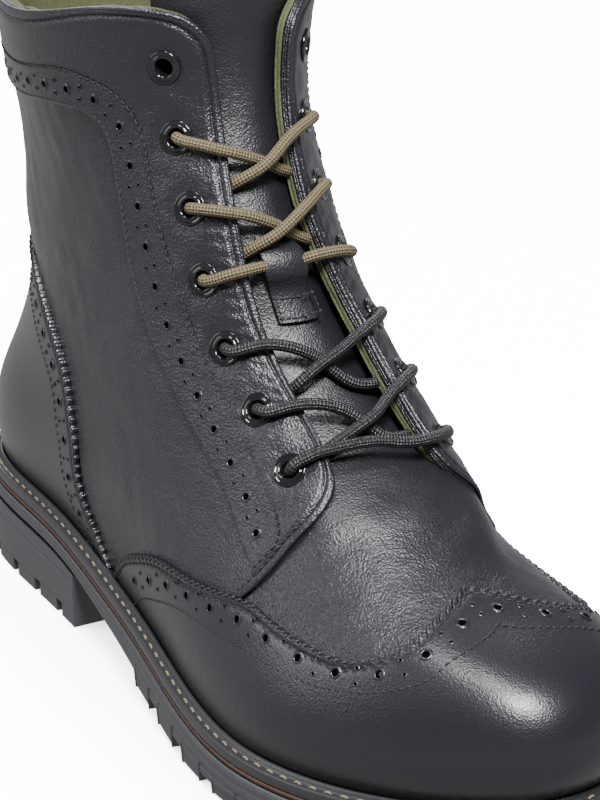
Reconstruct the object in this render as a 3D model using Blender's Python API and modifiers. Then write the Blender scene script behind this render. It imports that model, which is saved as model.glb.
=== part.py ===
# Brogue boot, right foot: winged cap, derby facings with seven eyelets a side, storm welt and a
# cleated rubber sole. Metres, +X to the toe, +Y to the inner side of the foot, +Z up.
# The origin is on the floor under the middle of the boot.

import math

import bmesh
import bpy
import numpy as np
from mathutils import Matrix, Vector

# Last and shaft
LAST_LENGTH = 0.300
BALL_WIDTH = 0.096
SHAFT_RISE = 0.1733

# Leather, and the gap that touching pieces keep
FIT_GAP = 0.0003
WALL = 0.0025
OVERLAY = 0.0012
TONGUE_THICKNESS = 0.0020
TONGUE_SLACK = 0.0012
INSOLE_THICKNESS = 0.0030

# Sole, from the floor up
HEEL_HEIGHT = 0.0205
HEEL_LENGTH = 0.0975
LUG_DEPTH = 0.0032
TOE_SPRING = 0.0081
STRIP_FORE = 0.0092
STRIP_HEEL = 0.0054
MIDSOLE_THICKNESS = 0.0012
WELT_THICKNESS = 0.0036
WELT_MARGIN = 0.0060
WELT_INNER_LAP = 0.0060
BEAD_HEIGHT = 0.0012
BEAD_WIDTH = 0.0014

# Tread
LUG_LENGTH = 0.0130
LUG_GAP = 0.0075
LUG_REACH = 0.0190
NOTCH_WIDTH = 0.0042
NOTCH_HEIGHT = 0.0045
NOTCH_DEPTH = 0.0100
NOTCH_PITCH = 0.0170
NOTCHES = 5
FIRST_NOTCH = 0.0115

# Eyelets and laces
EYELETS = 7
EYELET_RADIUS = 0.0050
EYELET_BORE = 0.0023
BARREL_RADIUS = 0.0029
FLANGE_HEIGHT = 0.0008
FLANGE_LIFT = 0.0009
BARREL_END = 0.0006
LACE_RADIUS = 0.0017
LACE_REST = 0.0010
LOOP_THICKNESS = 0.0012

# Lattice of the form: columns round the foot, rows from the feather line to the collar
COLUMNS_ROUND = 34
ROWS_UP = 14
FRONT_CROWDING = 0.36
OVERLAY_FOOT = 0.02

# Sections of the form from the feather line to the collar. X as shares of LAST_LENGTH from the heel,
# rises as shares of SHAFT_RISE, half widths at 30 to 150 degrees from the toe as shares of BALL_WIDTH.
SECTION_COLUMNS = (
    "back_x", "back_rise", "front_x", "front_rise", "toe_bias",
    "outer_30", "outer_60", "outer_90", "outer_120", "outer_150",
    "inner_30", "inner_60", "inner_90", "inner_120", "inner_150",
)
SECTIONS = (
    (-0.010, 0.000, 0.962, 0.000, 0.068, 0.307, 0.516, 0.432, 0.365, 0.307, 0.344, 0.464, 0.326, 0.292, 0.261),
    (-0.012, 0.077, 0.983, 0.072, 0.062, 0.312, 0.514, 0.448, 0.389, 0.328, 0.354, 0.486, 0.375, 0.344, 0.302),
    (0.002, 0.161, 0.956, 0.172, 0.052, 0.260, 0.438, 0.438, 0.399, 0.324, 0.318, 0.423, 0.394, 0.365, 0.302),
    (0.022, 0.248, 0.860, 0.228, 0.019, 0.231, 0.383, 0.415, 0.389, 0.281, 0.224, 0.367, 0.393, 0.375, 0.292),
    (0.044, 0.346, 0.763, 0.294, 0.019, 0.220, 0.352, 0.403, 0.375, 0.246, 0.240, 0.355, 0.390, 0.385, 0.292),
    (0.057, 0.434, 0.659, 0.398, 0.012, 0.206, 0.344, 0.393, 0.362, 0.234, 0.198, 0.323, 0.385, 0.384, 0.283),
    (0.057, 0.522, 0.563, 0.532, -0.008, 0.215, 0.336, 0.381, 0.360, 0.240, 0.177, 0.318, 0.386, 0.374, 0.261),
    (0.050, 0.643, 0.509, 0.700, -0.042, 0.190, 0.328, 0.393, 0.350, 0.231, 0.166, 0.316, 0.392, 0.362, 0.240),
    (0.034, 0.792, 0.460, 0.860, -0.024, 0.188, 0.357, 0.422, 0.365, 0.238, 0.167, 0.318, 0.422, 0.382, 0.250),
    (0.022, 1.003, 0.449, 1.032, -0.014, 0.225, 0.385, 0.453, 0.404, 0.254, 0.208, 0.375, 0.454, 0.416, 0.260),
)

# Line of the sole's top: place as a share of LAST_LENGTH, then its shares of the heel, ball and toe heights
SOLE_LINE = (
    (0.00, 1.00, 0.00, 0.00),
    (0.10, 1.00, 0.00, 0.00),
    (0.24, 0.93, 0.07, 0.00),
    (0.36, 0.65, 0.35, 0.00),
    (0.50, 0.36, 0.64, 0.00),
    (0.64, 0.04, 0.96, 0.00),
    (0.76, 0.00, 0.97, 0.03),
    (0.88, 0.00, 0.68, 0.32),
    (1.00, 0.00, 0.00, 1.00),
)

# Outlines drawn on the form. A turn is in degrees from the toe, a level is a share of the way to the collar.
THROAT = ((0.50, 8.0), (0.505, 15.0), (0.52, 19.0), (0.545, 20.5), (0.65, 20.0), (0.75, 19.6),
          (0.86, 18.6), (0.93, 18.0), (0.965, 19.0), (0.985, 22.0), (0.997, 27.0), (1.04, 44.0))
WING_EDGE = ((0, 0.385), (7.5, 0.367), (19.5, 0.330), (33.5, 0.273), (43.5, 0.235), (50, 0.226),
             (60, 0.238), (65.5, 0.246), (77, 0.215), (85, 0.195), (90.5, 0.172), (96, 0.130),
             (99.5, 0.083), (102, 0.015))
COUNTER_EDGE = ((104, 0.015), (107.5, 0.080), (110.5, 0.130), (112, 0.190), (111.5, 0.312),
                (112.5, 0.410), (117.5, 0.475), (124, 0.520), (135, 0.565), (150, 0.590), (180, 0.600))
# Facing overlay: its front edge from the tip round the derby corner to the collar, and its seam behind
EYESTAY_FRONT = ((60, 0.300), (55.5, 0.335), (46.5, 0.400), (37, 0.450), (29, 0.485), (23.5, 0.512),
                 (20.8, 0.545), (20.3, 0.600), (20.0, 0.680), (19.4, 0.780), (18.3, 0.880),
                 (18.3, 0.945), (20.5, 0.975), (26, 0.992), (36, 1.030), (60, 1.030), (90, 1.030),
                 (125, 1.030), (180, 1.030))
EYESTAY_SEAM = ((60.5, 0.306), (60.8, 0.340), (61, 0.390), (61, 0.455), (63, 0.512), (64.5, 0.568),
                (65.2, 0.620), (65.6, 0.670), (66, 0.718), (64.8, 0.765), (63, 0.810), (61.5, 0.840),
                (61.8, 0.858), (64, 0.872), (68, 0.880), (80, 0.878), (95, 0.870), (120, 0.860),
                (180, 0.860))
EYELET_TURN = 35.5
EYELET_LEVELS = (0.943, 0.867, 0.793, 0.721, 0.650, 0.583, 0.515)
COLLAR_DIP = 0.045

OUTSOLE_RUBBER = (0.030, 0.030, 0.033, 1.0)
BLACK_LEATHER = (0.012, 0.012, 0.014, 1.0)
PIECES = bpy.data.collections.new("brogue_boot")
CUTTERS = bpy.data.collections.new("cutters")


def natural_cubic(rows, at):
    """Smooth curve through rows standing at 0, 1, 2 and so on; a row may hold several columns."""
    rows = np.asarray(rows, float)
    count = len(rows)
    system = np.zeros((count, count))
    system[0, 0] = 1
    system[-1, -1] = 1
    for i in range(1, count - 1):
        system[i, i - 1:i + 2] = (1, 4, 1)
    load = np.zeros_like(rows)
    load[1:-1] = 6 * (rows[2:] - 2 * rows[1:-1] + rows[:-2])
    bend = np.linalg.solve(system, load)
    at = np.clip(np.asarray(at, float), 0, count - 1)
    low = np.minimum(at.astype(int), count - 2)
    high_share = at - low
    if rows.ndim > 1:
        high_share = high_share[..., None]
    low_share = 1 - high_share
    straight = rows[low] * low_share + rows[low + 1] * high_share
    return straight + ((low_share**3 - low_share) * bend[low] + (high_share**3 - high_share) * bend[low + 1]) / 6


def round_cubic(rings, at):
    """Closed smooth curve through the last axis of rings, read at steps 0 to its length."""
    count = rings.shape[-1]
    unit = np.eye(count)
    system = 4 * unit + np.roll(unit, 1, 1) + np.roll(unit, -1, 1)
    load = 6 * (np.roll(rings, -1, -1) - 2 * rings + np.roll(rings, 1, -1))
    bend = load @ np.linalg.inv(system).T
    at = np.mod(at, count)
    low = at.astype(int) % count
    high = (low + 1) % count
    high_share = at - at.astype(int)
    low_share = 1 - high_share

    def pick(table, index):
        return np.take_along_axis(table, index[..., None], -1)[..., 0]

    straight = pick(rings, low) * low_share + pick(rings, high) * high_share
    return straight + ((low_share**3 - low_share) * pick(bend, low)
                       + (high_share**3 - high_share) * pick(bend, high)) / 6


WELT_STACK = WELT_THICKNESS + MIDSOLE_THICKNESS + 3 * FIT_GAP
HEEL_SEAT = HEEL_HEIGHT + FIT_GAP + STRIP_HEEL + WELT_STACK
BALL_SEAT = LUG_DEPTH + STRIP_FORE + WELT_STACK
TOE_SEAT = BALL_SEAT + TOE_SPRING


def seat_height(x):
    """Height of the feather line above the floor, x from the heel."""
    table = np.array(SOLE_LINE)
    step = np.interp(x, table[:, 0] * LAST_LENGTH, np.arange(len(table)))
    return natural_cubic(table[:, 1:] @ np.array([HEEL_SEAT, BALL_SEAT, TOE_SEAT]), step)


def last_point(turn, level):
    """Point of the form in the last's own frame: X from the heel, turn in radians by the outer side."""
    turn, level = np.broadcast_arrays(np.asarray(turn, float), np.asarray(level, float))
    above = np.maximum(level - 1, 0)
    row = natural_cubic(SECTIONS, (level - above) * (len(SECTIONS) - 1))
    column = {name: row[..., i] for i, name in enumerate(SECTION_COLUMNS)}
    rear = (1 - np.cos(turn)) / 2

    def between(front, back):
        return front + (back - front) * rear

    x = between(column["front_x"], column["back_x"]) * LAST_LENGTH
    heel_x = SECTIONS[0][0] * LAST_LENGTH
    toe_x = SECTIONS[0][2] * LAST_LENGTH
    straight = between(seat_height(toe_x), seat_height(heel_x))
    sag = seat_height(between(toe_x, heel_x)) - straight
    fade = np.clip(1 - level / 0.45, 0, 1) ** 1.5
    rise = between(column["front_rise"], column["back_rise"])
    z = straight + sag * fade + (rise + above) * SHAFT_RISE
    bias = column["toe_bias"]
    outer = [bias * share - column[f"outer_{angle}"]
             for angle, share in ((30, 0.8), (60, 0.3), (90, 0), (120, 0), (150, 0))]
    inner = [bias * share + column[f"inner_{angle}"]
             for angle, share in ((150, 0), (120, 0), (90, 0), (60, 0.3), (30, 0.8))]
    ring = np.stack([bias] + outer + [np.zeros_like(bias)] + inner, -1)
    y = round_cubic(ring, turn / (2 * math.pi) * 12) * BALL_WIDTH
    return np.stack([x, y, z], -1)


def form_normal(turn, level):
    """Outward direction of the form; it turns level near the feather line."""
    turn, level = np.broadcast_arrays(np.asarray(turn, float), np.asarray(level, float))
    step = 0.001
    around = last_point(turn + step, level) - last_point(turn - step, level)
    upward = last_point(turn, np.minimum(level + step, 1)) - last_point(turn, np.clip(level - step, 0, 1 - step))
    normal = np.cross(upward, around)
    normal[..., 2] *= np.clip(level / 0.12, 0, 1)
    return normal / np.linalg.norm(normal, axis=-1)[..., None]


ALL_ROUND = np.radians(np.arange(0, 360, 1.0))
OVERLAY_TOP = FIT_GAP + OVERLAY
SOLE_REACH = last_point(ALL_ROUND, 0) + WELT_MARGIN * form_normal(ALL_ROUND, 0)
TOE_REACH = max((last_point(0, level) + OVERLAY_TOP * form_normal(0, level))[0] for level in np.linspace(0, 0.3, 31))
ORIGIN = np.array([(SOLE_REACH[:, 0].min() + max(SOLE_REACH[:, 0].max(), TOE_REACH)) / 2,
                   (SOLE_REACH[:, 1].min() + SOLE_REACH[:, 1].max()) / 2, 0.0])


def form_point(turn, level, offset=0.0):
    """Point of the form in the boot's frame, moved out by offset."""
    offset = np.asarray(offset, float)[..., None]
    return last_point(turn, level) - ORIGIN + form_normal(turn, level) * offset


def collar_level(turn):
    """Level of the collar's edge: it dips behind the ankle."""
    away = np.abs(np.mod(turn + math.pi, 2 * math.pi) - math.pi)
    share = np.clip((away - math.radians(40)) / math.radians(70), 0, 1)
    return 1 - COLLAR_DIP * share * share * (3 - 2 * share)


def leather(name, color, roughness, metallic=0.0):
    """Plain surface for one piece."""
    material = bpy.data.materials.new(name)
    material.use_nodes = True
    shader = material.node_tree.nodes["Principled BSDF"]
    shader.inputs["Base Color"].default_value = color
    shader.inputs["Roughness"].default_value = roughness
    shader.inputs["Metallic"].default_value = metallic
    material.diffuse_color = color
    return material


def add_object(name, data, color=BLACK_LEATHER, roughness=0.5, metallic=0.0):
    """New piece with its own material."""
    piece = bpy.data.objects.new(name, data)
    PIECES.objects.link(piece)
    data.materials.append(leather(name, color, roughness, metallic))
    return piece


def add_cutter(name, data):
    """New cutter, kept out of the render."""
    cutter = bpy.data.objects.new(name, data)
    CUTTERS.objects.link(cutter)
    cutter.hide_render = True
    cutter.display_type = "WIRE"
    return cutter


def boolean(target, cutter, operation, crossing=False):
    """Cut or join one object with another; crossing is for a cutter whose own blocks overlap."""
    modifier = target.modifiers.new(cutter.name, "BOOLEAN")
    modifier.operation = operation
    modifier.use_self = crossing
    modifier.object = cutter
    modifier.solver = "EXACT"


def shell_mesh(name, outer, inner, closed_round=False):
    """Closed solid between two grids of points, rows by columns, joined at their edges."""
    rows, columns = outer.shape[:2]
    mesh = bmesh.new()
    sides = [[[mesh.verts.new(point) for point in row] for row in grid] for grid in (outer, inner)]
    last = columns if closed_round else columns - 1
    for i in range(rows - 1):
        for j in range(last):
            k = (j + 1) % columns
            for grid in sides:
                mesh.faces.new((grid[i][j], grid[i + 1][j], grid[i + 1][k]))
                mesh.faces.new((grid[i][j], grid[i + 1][k], grid[i][k]))
    front, back = sides
    for j in range(last):
        k = (j + 1) % columns
        for i in (0, rows - 1):
            mesh.faces.new((front[i][j], front[i][k], back[i][k], back[i][j]))
    if not closed_round:
        for i in range(rows - 1):
            for j in (0, columns - 1):
                mesh.faces.new((front[i][j], front[i + 1][j], back[i + 1][j], back[i][j]))
    bmesh.ops.recalc_face_normals(mesh, faces=mesh.faces)
    data = bpy.data.meshes.new(name)
    mesh.to_mesh(data)
    mesh.free()
    return data


def crowd(turn):
    """Turns drawn together at the toe, where the form is tightest."""
    return turn - FRONT_CROWDING * np.sin(turn)


COLUMN_TURNS = crowd(2 * math.pi * np.arange(COLUMNS_ROUND) / COLUMNS_ROUND)


def form_shell(name, inner, outer, low=0.0, high=1.0):
    """Solid all round the form between two offsets, on the upper's own lattice."""
    shares = np.insert(np.linspace(0, 1, ROWS_UP + 1), 1, OVERLAY_FOOT)
    shares = shares[(shares > low - 0.001) & (shares < high + 0.001)]
    levels = shares[:, None] * collar_level(COLUMN_TURNS)[None, :]
    return shell_mesh(name, form_point(COLUMN_TURNS[None, :], levels, outer),
                      form_point(COLUMN_TURNS[None, :], levels, inner), closed_round=True)


def refine(*tables, widest=12.0):
    """The same tables of (turn, level) pairs, with pairs put in between where a step is wider than that."""
    tables = [np.array(table, float) for table in tables]
    steps = np.max([np.abs(np.diff(table[:, 0])) for table in tables], axis=0)
    at = [0.0]
    for i, step in enumerate(steps):
        count = max(1, math.ceil(step / widest))
        at += list(i + np.arange(1, count + 1) / count)
    places = np.arange(len(tables[0]))
    return [np.stack([np.interp(at, places, table[:, i]) for i in range(2)], -1) for table in tables]


def patch_cutter(name, first, second, side, rows=4, inner=-0.002, outer=0.004):
    """Thick solid over the part of the form between two lines of (turn, level) pairs."""
    share = np.linspace(0, 1, rows)[:, None]
    turns = np.radians(first[:, 0] * (1 - share) + second[:, 0] * share) * side
    levels = first[:, 1] * (1 - share) + second[:, 1] * share
    return add_cutter(name, shell_mesh(name, form_point(turns, levels, outer), form_point(turns, levels, inner)))


def both_sides(table):
    """A front-to-back table of (turn, level) pairs, mirrored into one line through its first or last pair."""
    table = np.array(table, float)
    if table[0, 0] == 0:
        return np.concatenate([table[::-1] * (-1, 1), table[1:]])
    return np.concatenate([table, (table[::-1] * (-1, 1) + (360, 0))[1:]])


def throat_cutter():
    """Solid of the open throat between the facings, round at its foot and at the collar."""
    line = np.array(THROAT)
    share = np.linspace(-1, 1, 7)
    turns = np.radians(line[:, 1:2] * share)
    levels = np.repeat(line[:, 0:1], len(share), 1)
    return add_cutter("throat", shell_mesh("throat", form_point(turns, levels, 0.006),
                                           form_point(turns, levels, -0.006)))


def eyelet_places():
    """Name, centre and outward direction of each eyelet, on the facing overlay."""
    places = []
    for side_name, side in (("outer", 1), ("inner", -1)):
        for number, level in enumerate(EYELET_LEVELS[:EYELETS], start=1):
            turn = math.radians(EYELET_TURN) * side
            centre = form_point(turn, level)
            normal = form_normal(turn, level)
            places.append((f"eyelet_{side_name}_{number}", Vector(centre), Vector(normal)))
    return places


def eyelet_frame(centre, normal):
    return Matrix.Translation(centre) @ normal.to_track_quat("Z", "Y").to_matrix().to_4x4()


def eyelet_hole_cutter():
    """All the eyelet holes as one cutter of separate pins."""
    mesh = bmesh.new()
    for _, centre, normal in eyelet_places():
        bmesh.ops.create_cone(mesh, cap_ends=True, segments=8, radius1=BARREL_RADIUS + 2 * FIT_GAP,
                              radius2=BARREL_RADIUS + 2 * FIT_GAP, depth=0.012,
                              matrix=eyelet_frame(centre, normal))
    data = bpy.data.meshes.new("eyelet_holes")
    mesh.to_mesh(data)
    mesh.free()
    return add_cutter("eyelet_holes", data)


def make_upper(throat, holes):
    """Vamp, quarters and shaft as one hollow wall, open at the collar, the throat and underneath."""
    upper = add_object("upper", form_shell("upper", -WALL, 0.0), roughness=0.55)
    boolean(upper, throat, "DIFFERENCE")
    boolean(upper, holes, "DIFFERENCE")


def make_overlays(holes):
    """Wing cap, heel counter and facing overlays, cut from a thin form just outside the upper."""
    inner = FIT_GAP
    outer = FIT_GAP + OVERLAY
    wing_line = both_sides(refine(WING_EDGE, widest=7)[0])
    wing_foot = wing_line * (1, 0)
    wing = add_object("wing_cap", form_shell("wing_cap", inner, outer, OVERLAY_FOOT, 0.5), roughness=0.35)
    boolean(wing, patch_cutter("wing_region", wing_foot, wing_line, 1, rows=6), "INTERSECT")
    counter_line = both_sides(refine(COUNTER_EDGE, widest=8)[0])
    counter = add_object("heel_counter", form_shell("heel_counter", inner, outer, OVERLAY_FOOT, 0.75), roughness=0.4)
    boolean(counter, patch_cutter("counter_region", counter_line * (1, 0), counter_line, 1, rows=7), "INTERSECT")
    front, seam = [both_sides(table) for table in refine(EYESTAY_FRONT, EYESTAY_SEAM)]
    eyestay = add_object("eyestay", form_shell("eyestay", inner, outer, 0.2, 1.0), roughness=0.5)
    boolean(eyestay, patch_cutter("eyestay_region", front, seam, 1, rows=5), "INTERSECT")
    boolean(eyestay, holes, "DIFFERENCE")


def tongue_face(level):
    """Offset of the tongue's outer face: close under the vamp at its root, clear of the eyelets above."""
    root = THROAT[0][0]
    free = np.clip((level - root + 0.03) / 0.05, 0, 1)
    return -(WALL + FIT_GAP + TONGUE_SLACK * free)


def make_tongue():
    """Tongue from under the vamp to just above the collar, with the lace loop sewn on it."""
    turns = crowd(2 * math.pi * np.arange(-5, 6) / COLUMNS_ROUND)[None, :]
    step = 1 / ROWS_UP
    levels = np.append(np.arange(THROAT[0][0] - 0.06, 1.0, step), 1.035)[:, None] * np.ones_like(turns)
    face = tongue_face(levels)
    add_object("tongue", shell_mesh("tongue", form_point(turns, levels, face),
                                    form_point(turns, levels, face - TONGUE_THICKNESS)), roughness=0.45)
    lift = np.array((0, 0, 0, 1, 1, 0, 0), float)
    levels = np.array((0.650, 0.675, 0.697, 0.708, 0.734, 0.743, 0.748))[:, None]
    turns = crowd(2 * math.pi * np.array((-1, 0, 1)) / COLUMNS_ROUND)[None, :]
    bed = tongue_face(levels) + 3 * FIT_GAP
    under = bed + lift[:, None] * (2 * LACE_RADIUS + LACE_REST)
    spread = np.ones_like(turns)
    add_object("tongue_loop", shell_mesh("tongue_loop", form_point(turns, levels, (under + LOOP_THICKNESS) * spread),
                                         form_point(turns, levels, under * spread)), roughness=0.45)


def feather_height(turn):
    return last_point(turn, 0)[..., 2]


def outline_point(turn, outset, height):
    """Point of the sole's outline, set out from the feather line, at a height above the floor."""
    point = last_point(turn, 0) - ORIGIN + form_normal(turn, 0) * np.asarray(outset, float)[..., None]
    point[..., 2] = height
    return point


def ring_solid(name, turns, rows, capped):
    """Loft round the outline through rows of (outset, heights); plates are capped, a welt closes on itself."""
    mesh = bmesh.new()
    grid = [[mesh.verts.new(point) for point in outline_point(turns, outset, height)] for outset, height in rows]
    count = len(turns)
    pairs = list(zip(grid[:-1], grid[1:]))
    if not capped:
        pairs.append((grid[-1], grid[0]))
    for low, high in pairs:
        for j in range(count):
            k = (j + 1) % count
            mesh.faces.new((low[j], low[k], high[k], high[j]))
    if capped:
        half = count // 2
        for row in (grid[0], grid[-1]):
            mesh.faces.new((row[0], row[1], row[count - 1]))
            for j in range(1, half - 1):
                mesh.faces.new((row[j], row[j + 1], row[count - j - 1], row[count - j]))
            mesh.faces.new((row[half - 1], row[half], row[half + 1]))
    bmesh.ops.recalc_face_normals(mesh, faces=mesh.faces)
    data = bpy.data.meshes.new(name)
    mesh.to_mesh(data)
    mesh.free()
    return data


def strip_thickness(turn):
    """Rubber strip: thin on the heel block, thicker under the forefoot."""
    along = last_point(turn, 0)[..., 0] / LAST_LENGTH
    share = np.clip((along - 0.26) / 0.24, 0, 1)
    return STRIP_HEEL + (STRIP_FORE - STRIP_HEEL) * share * share * (3 - 2 * share)


def strip_top(turn):
    return feather_height(turn) - WELT_STACK


def strip_bottom(turn):
    return strip_top(turn) - strip_thickness(turn)


def make_welt_and_midsole():
    """Storm welt with its bead beside the upper, and the thin midsole below it."""
    turns = COLUMN_TURNS
    top = feather_height(turns) - FIT_GAP
    bottom = top - WELT_THICKNESS
    bead_foot = OVERLAY + 3 * FIT_GAP
    bead_end = bead_foot + BEAD_WIDTH
    edge = 0.0005
    rows = (
        (-WELT_INNER_LAP, bottom), (-WELT_INNER_LAP, top), (bead_foot, top),
        (bead_foot + edge, top + BEAD_HEIGHT), (bead_end - edge, top + BEAD_HEIGHT), (bead_end, top),
        (WELT_MARGIN - edge, top), (WELT_MARGIN, top - edge), (WELT_MARGIN, bottom),
    )
    rows = [(np.full_like(turns, outset), height) for outset, height in rows]
    add_object("welt", ring_solid("welt", turns, rows, capped=False), roughness=0.6)
    top = bottom - FIT_GAP
    margin = np.full_like(turns, WELT_MARGIN)
    rows = ((margin, top - MIDSOLE_THICKNESS), (margin, top))
    add_object("midsole", ring_solid("midsole", turns, rows, capped=True), (0.10, 0.035, 0.015, 1), 0.6)


def make_insole():
    """Insole inside the upper, with the filler below it that fits in the welt's ring."""
    turns = COLUMN_TURNS
    top = feather_height(turns)
    inside_wall = np.full_like(turns, -(WALL + FIT_GAP))
    inside_welt = np.full_like(turns, -(WELT_INNER_LAP + FIT_GAP))
    floor = top - FIT_GAP - WELT_THICKNESS
    rows = ((inside_welt, floor), (inside_welt, top), (inside_wall, top), (inside_wall, top + INSOLE_THICKNESS))
    add_object("insole", ring_solid("insole", turns, rows, capped=True), (0.25, 0.16, 0.09, 1), 0.8)


def place_along_outline(distance, side):
    """Turn of the point of the outline that lies a distance from the toe, along one side."""
    turns = np.radians(np.linspace(0, 180, 361)) * side
    points = outline_point(turns, np.full_like(turns, WELT_MARGIN), 0.0)
    length = np.concatenate([[0], np.cumsum(np.linalg.norm(np.diff(points, axis=0), axis=1))])
    return np.interp(distance, length, turns * side) * side


def lug_prism(mesh, turns, outsets):
    """One lug: a block under the strip, sunk a little into it."""
    sunk = 0.001
    grid = []
    for outset in outsets:
        top = strip_bottom(turns) + sunk
        bottom = np.maximum(strip_bottom(turns) - LUG_DEPTH, 0.0)
        full = np.full_like(turns, outset)
        grid.append([[mesh.verts.new(point) for point in outline_point(turns, full, height)]
                     for height in (top, bottom)])
    near, far = grid
    count = len(turns)
    for j in range(count - 1):
        for level in (0, 1):
            mesh.faces.new((near[level][j], near[level][j + 1], far[level][j + 1], far[level][j]))
        for row in (near, far):
            mesh.faces.new((row[0][j], row[0][j + 1], row[1][j + 1], row[1][j]))
    for j in (0, count - 1):
        mesh.faces.new((near[0][j], near[1][j], far[1][j], far[0][j]))


def tread_cutter():
    """Side lugs round the forefoot and a row of bars between them, as one object of separate blocks."""
    mesh = bmesh.new()
    pitch = LUG_LENGTH + LUG_GAP
    for side in (1, -1):
        for number in range(9):
            start = LUG_GAP / 2 + number * pitch
            places = start + LUG_LENGTH * np.array((0.0, 1.0))
            lug_prism(mesh, place_along_outline(places, side), (WELT_MARGIN, WELT_MARGIN - LUG_REACH))
    bmesh.ops.recalc_face_normals(mesh, faces=mesh.faces)
    bar_size = Vector((LUG_LENGTH, BALL_WIDTH * 0.42, 0.0))
    for number in range(5):
        x = LAST_LENGTH * (0.55 + 0.075 * number) - ORIGIN[0]
        turn = math.acos(np.clip(1 - 2 * (SECTIONS[0][2] - (x + ORIGIN[0]) / LAST_LENGTH)
                                 / (SECTIONS[0][2] - SECTIONS[0][0]), -1, 1))
        low = float(strip_bottom(np.array(turn)))
        floor = max(low - LUG_DEPTH, 0.0)
        size = Vector((bar_size.x, bar_size.y * (1.0, 1.0, 0.95, 0.85, 0.6)[number], low + 0.002 - floor))
        matrix = Matrix.Translation((x, 0.004 - ORIGIN[1], floor + size.z / 2)) @ Matrix.Diagonal(size.to_4d())
        bmesh.ops.create_cube(mesh, size=1.0, matrix=matrix)
    data = bpy.data.meshes.new("tread")
    mesh.to_mesh(data)
    mesh.free()
    return add_cutter("tread", data)


def make_outsole():
    """Rubber strip under the whole foot, with the lugs joined to it."""
    turns = COLUMN_TURNS
    margin = np.full_like(turns, WELT_MARGIN)
    rows = ((margin, strip_bottom(turns)), (margin, strip_top(turns)))
    outsole = add_object("outsole", ring_solid("outsole", turns, rows, capped=True), OUTSOLE_RUBBER, 0.7)
    boolean(outsole, tread_cutter(), "UNION", crossing=True)


def heel_line():
    """Turns of the heel's outline from the breast round the back to the breast again."""
    breast = (HEEL_LENGTH + SOLE_REACH[:, 0].min())
    fine = np.radians(np.linspace(60, 180, 481))
    x = outline_point(fine, np.full_like(fine, WELT_MARGIN), 0.0)[:, 0] + ORIGIN[0]
    outer = np.interp(-breast, -x, fine)
    x = outline_point(-fine, np.full_like(fine, WELT_MARGIN), 0.0)[:, 0] + ORIGIN[0]
    inner = 2 * math.pi - np.interp(-breast, -x, fine)
    inside = COLUMN_TURNS[(COLUMN_TURNS > outer + 0.04) & (COLUMN_TURNS < inner - 0.04)]
    return np.concatenate([[outer], inside, [inner]]), breast - ORIGIN[0]


def make_heel():
    """Heel block with an upright breast and notches along its lower edge."""
    turns, breast = heel_line()
    margin = np.full_like(turns, WELT_MARGIN)
    mesh = bmesh.new()
    top_height = np.interp(turns, COLUMN_TURNS, strip_bottom(COLUMN_TURNS)) - FIT_GAP
    rows = [[mesh.verts.new(point) for point in outline_point(turns, margin, height)]
            for height in (0.0, top_height)]
    for row in rows:
        for end in (0, -1):
            row[end].co.x = breast
    count = len(turns)
    for j in range(count):
        k = (j + 1) % count
        mesh.faces.new((rows[0][j], rows[0][k], rows[1][k], rows[1][j]))
    for row in rows:
        for j in range((count - 1) // 2):
            near, far = j + 1, count - 2 - j
            strip = (row[j], row[near], row[far], row[count - 1 - j])
            mesh.faces.new(strip if near < far else (row[j], row[near], row[count - 1 - j]))
    bmesh.ops.recalc_face_normals(mesh, faces=mesh.faces)
    data = bpy.data.meshes.new("heel")
    mesh.to_mesh(data)
    mesh.free()
    heel = add_object("heel", data, OUTSOLE_RUBBER, 0.7)
    boolean(heel, notch_cutter(breast), "DIFFERENCE")


def notch_cutter(breast):
    """Boxes that notch the heel's lower edge, square to its outline."""
    mesh = bmesh.new()
    for side in (1, -1):
        fine = np.radians(np.linspace(90, 180, 181)) * side
        edge = outline_point(fine, np.full_like(fine, WELT_MARGIN), 0.0)
        length = np.concatenate([[0], np.cumsum(np.linalg.norm(np.diff(edge, axis=0), axis=1))])
        start = np.interp(-breast, -edge[:, 0], length)
        for number in range(NOTCHES):
            place = start + FIRST_NOTCH + number * NOTCH_PITCH
            turn = np.interp(place, length, fine * side) * side
            normal = form_normal(turn, 0)
            spot = outline_point(turn, np.array(WELT_MARGIN), 0.0)
            heading = math.atan2(normal[1], normal[0])
            size = Matrix.Diagonal((NOTCH_DEPTH * 2, NOTCH_WIDTH, NOTCH_HEIGHT * 2, 1))
            matrix = Matrix.Translation(spot) @ Matrix.Rotation(heading, 4, "Z") @ size
            bmesh.ops.create_cube(mesh, size=1.0, matrix=matrix)
    data = bpy.data.meshes.new("heel_notches")
    mesh.to_mesh(data)
    mesh.free()
    return add_cutter("heel_notches", data)


FLANGE_TOP = OVERLAY_TOP + FLANGE_LIFT + FLANGE_HEIGHT


def make_eyelets():
    """Turned eyelets: a domed flange on the facing and a barrel through it."""
    profile = (
        (BARREL_RADIUS, OVERLAY_TOP + FLANGE_LIFT), (EYELET_RADIUS, OVERLAY_TOP + FLANGE_LIFT),
        (EYELET_BORE, FLANGE_TOP), (EYELET_BORE, -WALL - BARREL_END), (BARREL_RADIUS, -WALL - BARREL_END),
    )
    data = bpy.data.meshes.new("eyelet")
    mesh = bmesh.new()
    points = [mesh.verts.new((radius, 0, height)) for radius, height in profile[::-1]]
    for i, point in enumerate(points):
        mesh.edges.new((point, points[(i + 1) % len(points)]))
    mesh.to_mesh(data)
    mesh.free()
    for name, centre, normal in eyelet_places():
        eyelet = add_object(name, data.copy(), (0.05, 0.05, 0.055, 1), 0.2, 1.0)
        eyelet.matrix_world = eyelet_frame(centre, normal)
        screw = eyelet.modifiers.new("turn", "SCREW")
        screw.steps = 8
        screw.render_steps = 8
        screw.use_merge_vertices = True
        screw.merge_threshold = 0.00001


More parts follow.
